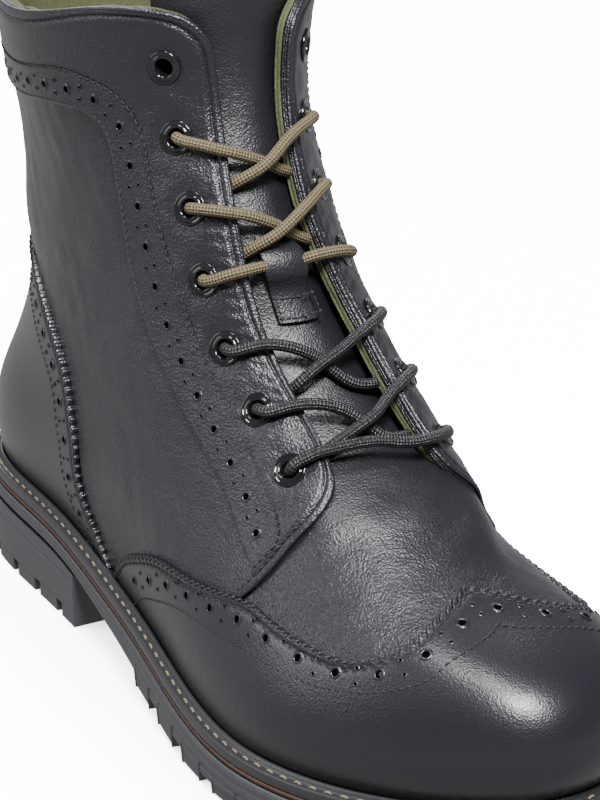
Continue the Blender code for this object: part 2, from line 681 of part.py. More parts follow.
# Lace runs as (turn, level from the upper row's eyelets, height): over the facing, and down to the tongue.
# Heights 0 lie on the tongue and 1 on the eyelets' flanges.
OVER_RUN = ((36, 0.0, 1.0), (31, -0.001, 1.0), (26, -0.003, 0.92), (21, -0.006, 0.90), (16, -0.011, 0.90),
            (9, -0.017, 0.86), (3, -0.022, 0.74), (-3, -0.027, 0.50), (-8, -0.031, 0.22), (-12, -0.035, 0.03),
            (-16.4, -0.039, 0.0))
UNDER_RUN = ((36, 0.0, 1.0), (31, -0.001, 1.0), (26, -0.003, 0.92), (21, -0.006, 0.88), (16, -0.011, 0.72),
             (9, -0.017, 0.36), (3, -0.022, 0.10), (-3, -0.027, 0.0), (-8, -0.031, 0.0), (-12, -0.035, 0.0),
             (-16.4, -0.039, 0.0))
BAR_HALF = ((36, 0.0, 1.0), (31, 0.0, 1.0), (26, 0.0, 0.92), (21, 0.0, 0.86), (16, 0.0, 0.60), (11, 0.0, 0.22),
            (7, 0.0, 0.02), (0, 0.0, 0.0))
BARE_BAR_HALF = ((36, 0.0, 1.0), (31, 0.0, 1.0), (26, 0.0, 0.92), (21, 0.0, 0.88), (14, 0.0, 0.86), (7, 0.0, 0.84),
                 (0, 0.0, 0.83))


def lace_points(run, level, side):
    """Centre line of a lace run in the boot's frame."""
    run = np.array(run, float)
    turns = np.radians(run[:, 0]) * side
    levels = level + run[:, 1]
    low = tongue_face(levels) + LACE_REST + LACE_RADIUS
    high = FLANGE_TOP + FIT_GAP + LACE_RADIUS
    return form_point(turns, levels, low + (high - low) * run[:, 2])


def cord_curve(name, points):
    """Round cord along points, closed at both ends."""
    data = bpy.data.curves.new(name, "CURVE")
    data.dimensions = "3D"
    data.bevel_depth = LACE_RADIUS
    data.bevel_resolution = 1
    data.use_fill_caps = True
    spline = data.splines.new("POLY")
    spline.points.add(len(points) - 1)
    for slot, point in zip(spline.points, points):
        slot.co = (*point, 1.0)
    return data


def cord_mesh(name, points):
    """The same cord as a closed mesh, to be joined with another."""
    source = bpy.data.objects.new(name + "_curve", cord_curve(name, points))
    CUTTERS.objects.link(source)
    graph = bpy.context.evaluated_depsgraph_get()
    data = bpy.data.meshes.new_from_object(source.evaluated_get(graph))
    bpy.data.objects.remove(source)
    mesh = bmesh.new()
    mesh.from_mesh(data)
    bmesh.ops.remove_doubles(mesh, verts=mesh.verts, dist=0.00001)
    bmesh.ops.recalc_face_normals(mesh, faces=mesh.faces)
    mesh.to_mesh(data)
    mesh.free()
    return data


def make_laces():
    """Two laces: olive on rows 2 to 4 and black on rows 5 to 7, a bar at the foot of each."""
    olive = (0.20, 0.17, 0.09, 1)
    black = (0.015, 0.015, 0.017, 1)
    for name, color, bar_row, rows, half in (("olive", olive, 4, (2, 3), BAR_HALF),
                                             ("black", black, 7, (5, 6), BARE_BAR_HALF)):
        points = lace_points(half, EYELET_LEVELS[bar_row - 1], 1)
        other = lace_points(half, EYELET_LEVELS[bar_row - 1], -1)[::-1]
        add_object(f"lace_{name}_bar", cord_curve(f"lace_{name}_bar", np.concatenate([points, other[1:]])),
                   color, 0.9)
        for row in rows:
            level = EYELET_LEVELS[row - 1]
            cross = add_object(f"lace_{name}_cross_{row}_{row + 1}",
                               cord_mesh("over_run", lace_points(OVER_RUN, level, -1)), color, 0.9)
            under = add_cutter(f"under_run_{row}", cord_mesh("under_run", lace_points(UNDER_RUN, level, 1)))
            boolean(cross, under, "UNION")


def main():
    for item in list(bpy.data.objects):
        bpy.data.objects.remove(item)
    bpy.context.scene.collection.children.link(PIECES)
    bpy.context.scene.collection.children.link(CUTTERS)
    throat = throat_cutter()
    holes = eyelet_hole_cutter()
    make_upper(throat, holes)
    make_overlays(holes)
    make_tongue()
    make_insole()
    make_welt_and_midsole()
    make_outsole()
    make_heel()
    make_eyelets()
    make_laces()


main()
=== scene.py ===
# Brogue boot, right foot: looks, floor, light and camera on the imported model.
# Metres, +X to the toe, +Y to the inner side of the foot, +Z up, origin on the floor under the middle.
# A turn is an angle round the foot from the toe by the outer side; a level is a share of the way from
# the feather line, where the upper meets the welt, to the collar.

import math

import bpy
import numpy as np
from mathutils import Matrix, Vector


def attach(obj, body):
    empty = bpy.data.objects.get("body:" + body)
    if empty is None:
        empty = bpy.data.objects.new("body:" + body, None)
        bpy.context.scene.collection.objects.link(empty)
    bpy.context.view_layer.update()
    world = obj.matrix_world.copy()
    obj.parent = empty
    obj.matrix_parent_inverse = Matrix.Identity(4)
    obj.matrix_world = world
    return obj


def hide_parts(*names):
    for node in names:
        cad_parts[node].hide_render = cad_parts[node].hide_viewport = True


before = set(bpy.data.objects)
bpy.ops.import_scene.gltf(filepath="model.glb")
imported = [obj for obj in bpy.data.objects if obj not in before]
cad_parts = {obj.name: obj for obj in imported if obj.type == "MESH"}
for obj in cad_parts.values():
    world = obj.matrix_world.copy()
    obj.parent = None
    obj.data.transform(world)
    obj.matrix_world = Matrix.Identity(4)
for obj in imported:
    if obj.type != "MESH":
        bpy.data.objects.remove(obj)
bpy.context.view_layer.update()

# Camera: angle to the boot, distance and the point it looks at
CAMERA_AZIMUTH = math.radians(60.65)
CAMERA_ELEVATION = math.radians(22.34)
CAMERA_ROLL = math.radians(-0.18)
CAMERA_DISTANCE = 0.9785
CAMERA_TARGET = Vector((0.00646, 0.00459, 0.0890))
CAMERA_LENS = 151.0
SENSOR = 36.0

# Last and shaft
LAST_LENGTH = 0.300
BALL_WIDTH = 0.096
SHAFT_RISE = 0.1733

# Leather, and the gap that touching pieces keep
FIT_GAP = 0.0003
WALL = 0.0025
OVERLAY = 0.0012
OVERLAY_HIGH = FIT_GAP + OVERLAY
ON_OVERLAY = OVERLAY_HIGH + 0.0001
TONGUE_THICKNESS = 0.0020
TONGUE_SLACK = 0.0012

# Sole, from the floor up
HEEL_HEIGHT = 0.0205
HEEL_LENGTH = 0.0975
LUG_DEPTH = 0.0032
TOE_SPRING = 0.0081
STRIP_FORE = 0.0092
STRIP_HEEL = 0.0054
MIDSOLE_THICKNESS = 0.0012
WELT_THICKNESS = 0.0036
WELT_MARGIN = 0.0060

# Tread
LUG_LENGTH = 0.0130
LUG_GAP = 0.0075
LUG_REACH = 0.0190
NOTCH_WIDTH = 0.0042
NOTCH_HEIGHT = 0.0045
NOTCH_DEPTH = 0.0100
NOTCH_PITCH = 0.0170
NOTCHES = 5
FIRST_NOTCH = 0.0115

# Laces and the loop
LACE_RADIUS = 0.0017
LOOP_THICKNESS = 0.0012

# Sections of the form from the feather line to the collar. X as shares of LAST_LENGTH from the heel,
# rises as shares of SHAFT_RISE, half widths at 30 to 150 degrees from the toe as shares of BALL_WIDTH.
SECTION_COLUMNS = (
    "back_x", "back_rise", "front_x", "front_rise", "toe_bias",
    "outer_30", "outer_60", "outer_90", "outer_120", "outer_150",
    "inner_30", "inner_60", "inner_90", "inner_120", "inner_150",
)
SECTIONS = (
    (-0.010, 0.000, 0.962, 0.000, 0.068, 0.307, 0.516, 0.432, 0.365, 0.307, 0.344, 0.464, 0.326, 0.292, 0.261),
    (-0.012, 0.077, 0.983, 0.072, 0.062, 0.312, 0.514, 0.448, 0.389, 0.328, 0.354, 0.486, 0.375, 0.344, 0.302),
    (0.002, 0.161, 0.956, 0.172, 0.052, 0.260, 0.438, 0.438, 0.399, 0.324, 0.318, 0.423, 0.394, 0.365, 0.302),
    (0.022, 0.248, 0.860, 0.228, 0.019, 0.231, 0.383, 0.415, 0.389, 0.281, 0.224, 0.367, 0.393, 0.375, 0.292),
    (0.044, 0.346, 0.763, 0.294, 0.019, 0.220, 0.352, 0.403, 0.375, 0.246, 0.240, 0.355, 0.390, 0.385, 0.292),
    (0.057, 0.434, 0.659, 0.398, 0.012, 0.206, 0.344, 0.393, 0.362, 0.234, 0.198, 0.323, 0.385, 0.384, 0.283),
    (0.057, 0.522, 0.563, 0.532, -0.008, 0.215, 0.336, 0.381, 0.360, 0.240, 0.177, 0.318, 0.386, 0.374, 0.261),
    (0.050, 0.643, 0.509, 0.700, -0.042, 0.190, 0.328, 0.393, 0.350, 0.231, 0.166, 0.316, 0.392, 0.362, 0.240),
    (0.034, 0.792, 0.460, 0.860, -0.024, 0.188, 0.357, 0.422, 0.365, 0.238, 0.167, 0.318, 0.422, 0.382, 0.250),
    (0.022, 1.003, 0.449, 1.032, -0.014, 0.225, 0.385, 0.453, 0.404, 0.254, 0.208, 0.375, 0.454, 0.416, 0.260),
)

# Line of the sole's top: place as a share of LAST_LENGTH, then its shares of the heel, ball and toe heights
SOLE_LINE = (
    (0.00, 1.00, 0.00, 0.00),
    (0.10, 1.00, 0.00, 0.00),
    (0.24, 0.93, 0.07, 0.00),
    (0.36, 0.65, 0.35, 0.00),
    (0.50, 0.36, 0.64, 0.00),
    (0.64, 0.04, 0.96, 0.00),
    (0.76, 0.00, 0.97, 0.03),
    (0.88, 0.00, 0.68, 0.32),
    (1.00, 0.00, 0.00, 1.00),
)


def natural_cubic(rows, at):
    """Smooth curve through rows standing at 0, 1, 2 and so on; a row may hold several columns."""
    rows = np.asarray(rows, float)
    count = len(rows)
    system = np.zeros((count, count))
    system[0, 0] = 1
    system[-1, -1] = 1
    for i in range(1, count - 1):
        system[i, i - 1:i + 2] = (1, 4, 1)
    load = np.zeros_like(rows)
    load[1:-1] = 6 * (rows[2:] - 2 * rows[1:-1] + rows[:-2])
    bend = np.linalg.solve(system, load)
    at = np.clip(np.asarray(at, float), 0, count - 1)
    low = np.minimum(at.astype(int), count - 2)
    high_share = at - low
    if rows.ndim > 1:
        high_share = high_share[..., None]
    low_share = 1 - high_share
    straight = rows[low] * low_share + rows[low + 1] * high_share
    return straight + ((low_share**3 - low_share) * bend[low]
                       + (high_share**3 - high_share) * bend[low + 1]) / 6


def round_cubic(rings, at):
    """Closed smooth curve through the last axis of rings, read at steps 0 to its length."""
    count = rings.shape[-1]
    unit = np.eye(count)
    system = 4 * unit + np.roll(unit, 1, 1) + np.roll(unit, -1, 1)
    load = 6 * (np.roll(rings, -1, -1) - 2 * rings + np.roll(rings, 1, -1))
    bend = load @ np.linalg.inv(system).T
    at = np.mod(at, count)
    low = at.astype(int) % count
    high = (low + 1) % count
    high_share = at - at.astype(int)
    low_share = 1 - high_share

    def pick(table, index):
        return np.take_along_axis(table, index[..., None], -1)[..., 0]

    straight = pick(rings, low) * low_share + pick(rings, high) * high_share
    return straight + ((low_share**3 - low_share) * pick(bend, low)
                       + (high_share**3 - high_share) * pick(bend, high)) / 6


WELT_STACK = WELT_THICKNESS + MIDSOLE_THICKNESS + 3 * FIT_GAP
HEEL_SEAT = HEEL_HEIGHT + FIT_GAP + STRIP_HEEL + WELT_STACK
BALL_SEAT = LUG_DEPTH + STRIP_FORE + WELT_STACK
TOE_SEAT = BALL_SEAT + TOE_SPRING


def seat_height(x):
    """Height of the feather line above the floor, x from the heel."""
    table = np.array(SOLE_LINE)
    step = np.interp(x, table[:, 0] * LAST_LENGTH, np.arange(len(table)))
    return natural_cubic(table[:, 1:] @ np.array([HEEL_SEAT, BALL_SEAT, TOE_SEAT]), step)


def last_point(turn, level):
    """Point of the form in the last's own frame: X from the heel, turn in radians by the outer side."""
    turn, level = np.broadcast_arrays(np.asarray(turn, float), np.asarray(level, float))
    above = np.maximum(level - 1, 0)
    row = natural_cubic(SECTIONS, (level - above) * (len(SECTIONS) - 1))
    column = {name: row[..., i] for i, name in enumerate(SECTION_COLUMNS)}
    rear = (1 - np.cos(turn)) / 2

    def between(front, back):
        return front + (back - front) * rear

    x = between(column["front_x"], column["back_x"]) * LAST_LENGTH
    heel_x = SECTIONS[0][0] * LAST_LENGTH
    toe_x = SECTIONS[0][2] * LAST_LENGTH
    straight = between(seat_height(toe_x), seat_height(heel_x))
    sag = seat_height(between(toe_x, heel_x)) - straight
    fade = np.clip(1 - level / 0.45, 0, 1) ** 1.5
    rise = between(column["front_rise"], column["back_rise"])
    z = straight + sag * fade + (rise + above) * SHAFT_RISE
    bias = column["toe_bias"]
    outer = [bias * share - column[f"outer_{angle}"]
             for angle, share in ((30, 0.8), (60, 0.3), (90, 0), (120, 0), (150, 0))]
    inner = [bias * share + column[f"inner_{angle}"]
             for angle, share in ((150, 0), (120, 0), (90, 0), (60, 0.3), (30, 0.8))]
    ring = np.stack([bias] + outer + [np.zeros_like(bias)] + inner, -1)
    y = round_cubic(ring, turn / (2 * math.pi) * 12) * BALL_WIDTH
    return np.stack([x, y, z], -1)


def form_normal(turn, level):
    """Outward direction of the form; it turns level near the feather line."""
    turn, level = np.broadcast_arrays(np.asarray(turn, float), np.asarray(level, float))
    step = 0.001
    around = last_point(turn + step, level) - last_point(turn - step, level)
    above, below = np.minimum(level + step, 1), np.clip(level - step, 0, 1 - step)
    upward = last_point(turn, above) - last_point(turn, below)
    normal = np.cross(upward, around)
    normal[..., 2] *= np.clip(level / 0.12, 0, 1)
    return normal / np.linalg.norm(normal, axis=-1)[..., None]


ALL_ROUND = np.radians(np.arange(0, 360, 1.0))
SOLE_REACH = last_point(ALL_ROUND, 0) + WELT_MARGIN * form_normal(ALL_ROUND, 0)
TOE_REACH = max((last_point(0, level) + OVERLAY_HIGH * form_normal(0, level))[0]
                for level in np.linspace(0, 0.3, 31))
ORIGIN = np.array([(SOLE_REACH[:, 0].min() + max(SOLE_REACH[:, 0].max(), TOE_REACH)) / 2,
                   (SOLE_REACH[:, 1].min() + SOLE_REACH[:, 1].max()) / 2, 0.0])


def form_point(turn, level, offset=0.0):
    """Point of the form in the boot's frame, moved out by offset."""
    offset = np.asarray(offset, float)[..., None]
    return last_point(turn, level) - ORIGIN + form_normal(turn, level) * offset


def collar_level(turn):
    """Level of the collar's edge: it dips behind the ankle."""
    away = np.abs(np.mod(turn + math.pi, 2 * math.pi) - math.pi)
    share = np.clip((away - math.radians(40)) / math.radians(70), 0, 1)
    return 1 - COLLAR_DIP * share * share * (3 - 2 * share)


# Outlines drawn on the form, outer side; turns in degrees. The inner side mirrors them.
WING_EDGE = ((0, 0.385), (7.5, 0.367), (19.5, 0.330), (33.5, 0.273), (43.5, 0.235), (50, 0.226),
             (60, 0.238), (65.5, 0.246), (77, 0.215), (85, 0.195), (90.5, 0.172), (96, 0.130),
             (99.5, 0.083), (102, 0.002))
WING_INNER = ((0, 0.322), (7.5, 0.307), (14, 0.293), (23.5, 0.265), (30, 0.236), (37, 0.210), (42, 0.195),
              (47, 0.185), (54.5, 0.177), (64.5, 0.177), (70, 0.171), (76, 0.160), (82, 0.140),
              (87.5, 0.105), (92, 0.060), (94.5, 0.010))
WING_HOLES = ((0, 0.352), (7.5, 0.337), (14, 0.320), (23.5, 0.290), (30, 0.262), (37, 0.235), (42, 0.217),
              (47, 0.207), (54.5, 0.204), (64.5, 0.210), (70, 0.203), (76, 0.188), (82, 0.170),
              (87.5, 0.144), (93, 0.098), (97.5, 0.040))
COUNTER_EDGE = ((104, 0.002), (107.5, 0.080), (110.5, 0.130), (112, 0.190), (111.7, 0.250), (111.5, 0.312),
                (112.5, 0.410), (117.5, 0.475), (124, 0.520), (135, 0.565), (150, 0.590), (165, 0.598),
                (180, 0.600))
EYESTAY_FRONT = ((66.5, 0.246), (60, 0.300), (55.5, 0.335), (46.5, 0.400), (37, 0.450), (29, 0.485),
                 (23.5, 0.512), (20.8, 0.545), (20.3, 0.600), (20.0, 0.680), (19.4, 0.780), (18.4, 0.880),
                 (18.3, 0.945), (20.0, 0.975), (26, 0.993), (37, 1.000), (60, 0.991), (90, 0.964),
                 (125, 0.955), (180, 0.955))
EYESTAY_SEAM = ((67.0, 0.250), (61.2, 0.307), (61, 0.340), (61, 0.390), (61, 0.455), (63, 0.512),
                (64.5, 0.568), (65.2, 0.620), (65.6, 0.670), (66, 0.718), (64.8, 0.765), (63, 0.810),
                (61.5, 0.840),
                (61.8, 0.860), (64.5, 0.874), (70, 0.880), (80, 0.878), (95, 0.870), (120, 0.860),
                (180, 0.860))
BAND_INNER = ((59.5, 0.322), (56.5, 0.345), (52, 0.378), (48.5, 0.412), (46.7, 0.455), (46.3, 0.490),
              (46, 0.537), (45.5, 0.595), (45.5, 0.645), (46, 0.693), (48.3, 0.740), (49, 0.775),
              (48.8, 0.812),
              (47.7, 0.845), (48, 0.872), (51.5, 0.899), (58, 0.913), (66, 0.919), (74.5, 0.920),
              (89.5, 0.912), (117, 0.900), (180, 0.898))
BAND_HOLES = ((57.5, 0.350), (55.5, 0.385), (54.2, 0.430), (54.2, 0.480), (54.6, 0.512), (55, 0.568),
              (55.3, 0.620), (55.7, 0.680), (56.5, 0.725), (56.4, 0.777), (55.3, 0.820),
              (54.5, 0.850), (55.5, 0.876),
              (60, 0.893), (68.5, 0.900), (80, 0.8985), (95, 0.891), (116, 0.880), (180, 0.877))
EYELET_TURN = 35.5
EYELET_LEVELS = (0.943, 0.867, 0.793, 0.721, 0.650, 0.583, 0.515)
COLLAR_DIP = 0.045

# Tongue: levels of its root and top, how deep it sits, and its half width in degrees
TONGUE_ROOT = 0.462
TONGUE_SET = WALL + FIT_GAP + TONGUE_SLACK
TONGUE_TOP = 1.034
TONGUE_HALF = 41

# How far the inner facing stands off the form, at levels along it
INNER_LIFT = ((0.475, 0.0), (0.500, 0.0006), (0.535, 0.0022), (0.583, 0.0034), (0.650, 0.0036),
              (0.721, 0.0020), (0.793, 0.0006), (0.867, 0.0008), (1.0, 0.0003))

THREAD_BLACK = (0.004, 0.004, 0.005)
THREAD_BEIGE = (0.125, 0.098, 0.062)


def smooth_step(value, low, high):
    share = np.clip((np.asarray(value, float) - low) / (high - low), 0, 1)
    return share * share * (3 - 2 * share)


def boot_point(turn, level, offset=0.0):
    """Point over the form where the inner facing stands off it a little, as it does under a laced tongue."""
    turn, level = np.broadcast_arrays(np.asarray(turn, float), np.asarray(level, float))
    inner = np.where(turn > math.pi, 2 * math.pi - turn, -turn)
    table = np.array(INNER_LIFT)
    lift = np.interp(level, table[:, 0], table[:, 1])
    lift = lift * smooth_step(-inner, math.radians(-64), math.radians(-36))
    lift = np.where((inner > 0) & (inner < math.pi / 2), lift, 0)
    return form_point(turn, level, np.asarray(offset) + lift)


def bump(distance, centre, width):
    """Rounded ridge of height 1 along a line."""
    return np.exp(-((np.asarray(distance) - centre) / width) ** 2)


def soft_noise(points, size, seed, waves=20):
    """Smooth random relief over points, its bumps about that size; mostly between -1 and 1."""
    random = np.random.default_rng(seed)
    total = np.zeros(points.shape[:-1])
    for _ in range(waves):
        direction = random.normal(size=3)
        direction /= np.linalg.norm(direction)
        pitch = size * random.uniform(1.4, 3.0)
        total += np.sin(points @ direction * (2 * math.pi / pitch) + random.uniform(0, 2 * math.pi))
    return total / math.sqrt(waves)


# Materials

def new_material(name, color, roughness, metallic=0.0):
    material = bpy.data.materials.new(name)
    material.use_nodes = True
    shader = material.node_tree.nodes["Principled BSDF"]
    shader.inputs["Base Color"].default_value = (*color, 1)
    shader.inputs["Roughness"].default_value = roughness
    shader.inputs["Metallic"].default_value = metallic
    return material, material.node_tree, shader


def add_node(tree, kind, links=None, **values):
    """Node with settings or input values by name, and sockets linked to its inputs by name."""
    node = tree.nodes.new(kind)
    for key, value in values.items():
        if key in node.inputs:
            node.inputs[key].default_value = value
        else:
            setattr(node, key, value)
    for key, socket in (links or {}).items():
        tree.links.new(socket, node.inputs[key])
    return node


def add_math(tree, operation, *terms, kind="ShaderNodeMath"):
    """Result of a math node whose terms are sockets or constants."""
    node = add_node(tree, kind, operation=operation)
    for slot, term in zip(node.inputs, terms):
        if isinstance(term, bpy.types.NodeSocket):
            tree.links.new(term, slot)
        else:
            slot.default_value = term
    return node.outputs[0]


def add_noise(tree, place, size, **values):
    return add_node(tree, "ShaderNodeTexNoise", {"Vector": place}, Scale=1 / size, **values)


def object_place(tree):
    return add_node(tree, "ShaderNodeTexCoord").outputs["Object"]


def add_relief(tree, shader, height, strength, depth):
    relief = add_node(tree, "ShaderNodeBump", {"Height": height}, Strength=strength, Distance=depth)
    tree.links.new(relief.outputs["Normal"], shader.inputs["Normal"])


def add_ramp(tree, shader, value, ends, colors):
    """Base colour that goes from one colour to another as a value goes from end to end."""
    ramp = add_node(tree, "ShaderNodeValToRGB", {"Fac": value})
    for element, end, color in zip(ramp.color_ramp.elements, ends, colors):
        element.position = end
        element.color = (*color, 1)
    tree.links.new(ramp.outputs["Color"], shader.inputs["Base Color"])


def grain_height(tree, cell, fine_share=0.5, wrinkle_share=1.2):
    """Pebbled grain: rounded cells, finer pores and long soft wrinkles, as one height."""
    place = object_place(tree)
    warp = add_noise(tree, place, cell * 6, Detail=2.0).outputs["Color"]
    bent = add_math(tree, "MULTIPLY_ADD", warp, (cell * 2.5,) * 3, place, kind="ShaderNodeVectorMath")
    cells = add_node(tree, "ShaderNodeTexVoronoi", {"Vector": bent}, feature="SMOOTH_F1", Scale=1 / cell,
                     Smoothness=0.35)
    pores = add_noise(tree, place, cell * 0.55, Detail=3.0)
    squash = add_math(tree, "MULTIPLY", place, (1.0, 1.0, 2.2), kind="ShaderNodeVectorMath")
    wrinkles = add_noise(tree, squash, cell * 5, Detail=4.0, Distortion=0.8)
    fine = add_math(tree, "MULTIPLY_ADD", pores.outputs["Fac"], fine_share, cells.outputs["Distance"])
    return add_math(tree, "MULTIPLY_ADD", wrinkles.outputs["Fac"], wrinkle_share, fine)


def leather_material(name, color, roughness, cell, depth):
    """Black leather with grain of a cell size and depth in metres."""
    material, tree, shader = new_material(name, color, roughness)
    add_relief(tree, shader, grain_height(tree, cell), 0.6, depth)
    return material


def rough_material(name, color, roughness, size, depth, tint=None):
    """Matt surface with fine noise in its relief and, where tint is given, in its colour."""
    material, tree, shader = new_material(name, color, roughness)
    noise = add_noise(tree, object_place(tree), size, Detail=5.0, Roughness=0.6).outputs["Fac"]
    add_relief(tree, shader, noise, 0.7, depth)
    if tint is not None:
        add_ramp(tree, shader, noise, (0.35, 0.68), (color, tint))
    return material


def painted_shade_material(name, color):
    """Flat dark with no shine: painted shade for the bottom of a hole and for the space behind an eyelet."""
    material, _, shader = new_material(name, color, 1.0)
    shader.inputs["Specular IOR Level"].default_value = 0.0
    return material


def braid_material(name, dark, light, roughness, strands=6, pitch=0.0018):
    """Round braid: two sets of slanting strands over the cord's own lengthwise and round coordinates; its
    colour runs from painted shade in the grooves to painted highlight on the strand crowns.
    """
    material, tree, shader = new_material(name, dark, roughness)
    place = add_node(tree, "ShaderNodeUVMap", uv_map="cord").outputs["UV"]
    parts = add_node(tree, "ShaderNodeSeparateXYZ", {"Vector": place})
    along = add_math(tree, "MULTIPLY", parts.outputs["Y"], 2 * math.pi / pitch)
    waves = [add_math(tree, "SINE", add_math(tree, "MULTIPLY_ADD", parts.outputs["X"], rounds, along))
             for rounds in (strands * 2 * math.pi, -strands * 2 * math.pi)]
    weave = add_math(tree, "MULTIPLY", *waves)
    speckle = add_node(tree, "ShaderNodeTexNoise", {"Vector": object_place(tree)}, Scale=2600.0, Detail=2.0)
    height = add_math(tree, "MULTIPLY_ADD", speckle.outputs["Fac"], 1.6, weave)
    # Painted highlight and shade: the colour is light where the weave stands high and dark in its grooves; the
    # speckle adds the yarn's own uneven tone
    add_ramp(tree, shader, height, (0.25, 1.0), (dark, light))
    add_relief(tree, shader, height, 0.8, 0.00025)
    return material


LOOKS = {
    "grain": leather_material("grain_leather", (0.0075, 0.0072, 0.0104), 0.35, 0.00066, 0.00027),
    "cap": leather_material("cap_leather", (0.0080, 0.0073, 0.0106), 0.32, 0.0006, 0.00009),
    "tongue": leather_material("tongue_leather", (0.0066, 0.0063, 0.0088), 0.42, 0.0006, 0.00022),
    # Painted shade: near-black with no shine, on the discs that stand for the dark inside holes and behind the
    # empty eyelets
    "painted_shade": painted_shade_material("hole_painted_shade", (0.0015, 0.0014, 0.0014)),
    "thread": new_material("thread_black", THREAD_BLACK, 0.7)[0],
    "gimp": new_material("gimp_leather", (0.006, 0.006, 0.007), 0.62)[0],
    "beige": new_material("thread_beige", THREAD_BEIGE, 0.8)[0],
    "suede": rough_material("lining_suede", (0.035, 0.038, 0.014), 0.95, 0.0006, 0.0002,
                            (0.075, 0.082, 0.034)),
    "welt": rough_material("welt_leather", (0.016, 0.016, 0.018), 0.42, 0.0012, 0.00015),
    "rust": rough_material("midsole_edge", (0.055, 0.016, 0.007), 0.55, 0.001, 0.0001, (0.025, 0.01, 0.007)),
    "rubber": rough_material("sole_rubber", (0.03, 0.03, 0.034), 0.5, 0.0007, 0.0001, (0.046, 0.046, 0.051)),
    "insole": rough_material("insole_leather", (0.20, 0.13, 0.07), 0.85, 0.002, 0.0001),
    "metal": new_material("eyelet_gloss", (0.006, 0.006, 0.007), 0.07, 0.0)[0],
    # The lace braids' light colour is a painted highlight on the strand crowns and their dark colour painted
    # shade in the grooves
    "olive": braid_material("lace_olive_braid", (0.022, 0.017, 0.007), (0.135, 0.103, 0.052), 0.65),
    "black": braid_material("lace_black_braid", (0.003, 0.003, 0.004), (0.011, 0.011, 0.013), 0.42),
}


# Meshes

def add_piece(name, points, faces, look, node=None, smooth=True):
    """One piece of the boot from points and faces; it rides on the boot and may stand for a CAD node."""
    mesh = bpy.data.meshes.new(name)
    mesh.from_pydata(np.asarray(points, float).reshape(-1, 3).tolist(), [], [list(face) for face in faces])
    mesh.update()
    if smooth:
        mesh.shade_smooth()
    mesh.materials.append(LOOKS[look])
    piece = bpy.data.objects.new(name, mesh)
    bpy.context.scene.collection.objects.link(piece)
    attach(piece, "root")
    if node:
        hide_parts(*([node] if isinstance(node, str) else node))
    return piece


def grid_faces(rows, columns, wrap=False, keep=None):
    """Quads of a grid, facing out where columns run round the foot by the outer side and rows run up."""
    index = np.arange(rows * columns).reshape(rows, columns)
    if wrap:
        left, right = index, np.roll(index, -1, 1)
    else:
        left, right = index[:, :-1], index[:, 1:]
    faces = np.stack([left[:-1], left[1:], right[1:], right[:-1]], -1)
    if keep is not None:
        return faces[keep]
    return faces.reshape(-1, 4)


def add_grid(name, points, look, node=None, wrap=False, keep=None, flip=False):
    rows, columns = points.shape[:2]
    faces = grid_faces(rows, columns, wrap, keep)
    if flip:
        faces = faces[:, ::-1]
    if keep is not None:
        used, faces = np.unique(faces, return_inverse=True)
        points = points.reshape(-1, 3)[used]
        faces = faces.reshape(-1, 4)
    return add_piece(name, points, faces, look, node)


# Lines on the form

def fine_line(table, steps=40):
    """Smooth line through a table of (turn in degrees, level); turns in radians."""
    table = np.array(table, float)
    fine = natural_cubic(table, np.linspace(0, len(table) - 1, (len(table) - 1) * steps + 1))
    return np.stack([np.radians(fine[:, 0]), fine[:, 1]], -1)


def both_sides(line):
    """An outer line that starts or ends at the toe or the back, with its mirror image joined to it."""
    if abs(line[0, 0]) < 1e-6:
        return np.concatenate([line[:0:-1] * (-1, 1), line])
    return np.concatenate([line, line[-2::-1] * (-1, 1) + (2 * math.pi, 0)])


def line_points(line, height=0.0):
    return boot_point(line[:, 0], line[:, 1], height)


def path_length(points):
    """Length along a row of points, from 0 at the first."""
    steps = np.linalg.norm(np.diff(points, axis=0), axis=1)
    return np.concatenate([[0], np.cumsum(steps)])


def line_length(line):
    return path_length(line_points(line))


def read_line(line, length, at):
    """Points of a line at given lengths along it."""
    return np.stack([np.interp(at, length, line[:, i]) for i in range(2)], -1)


def even_line(line, pitch):
    """The same line with its points a pitch apart, or as near as fits."""
    length = line_length(line)
    return read_line(line, length, np.linspace(0, length[-1], max(2, int(round(length[-1] / pitch)) + 1)))


def smooth_outline(table):
    """Smooth line through an outline's table and its mirror image."""
    return both_sides(fine_line(table))


def nearest_square(points, line):
    """Square of each point's distance to the nearest of a line's points, one at most."""
    flat = points.reshape(-1, 3)
    nearest = np.full(len(flat), 1.0)
    for place in line:
        nearest = np.minimum(nearest, ((flat - place) ** 2).sum(1))
    return nearest.reshape(points.shape[:-1])


def groove(points, line, width):
    """Share from 0 to 1 of how near points lie to a line of points."""
    return np.exp(-nearest_square(points, line) / width**2)


def circle(sides):
    """Corners of a flat ring of radius 1."""
    angle = 2 * math.pi * np.arange(sides) / sides
    return np.stack([np.cos(angle), np.sin(angle), 0 * angle], -1)


def inset_line(line, distance):
    """The line moved over the form, to its left as seen from outside."""
    step = 1e-4
    turn, level = line[:, 0], line[:, 1]
    along = np.gradient(line_points(line), axis=0)
    along /= np.linalg.norm(along, axis=1)[:, None]
    side = np.cross(form_normal(turn, level), along) * np.broadcast_to(distance, turn.shape)[:, None]
    by_turn = (form_point(turn + step, level) - form_point(turn - step, level)) / (2 * step)
    by_level = (form_point(turn, level + step) - form_point(turn, level - step)) / (2 * step)
    aa, bb = (by_turn**2).sum(1), (by_level**2).sum(1)
    ab = (by_turn * by_level).sum(1)
    sa, sb = (side * by_turn).sum(1), (side * by_level).sum(1)
    base = aa * bb - ab * ab
    moved = line + np.stack([(sa * bb - sb * ab) / base, (sb * aa - sa * ab) / base], -1)
    moved[:, 1] = np.maximum(moved[:, 1], 0)
    return moved
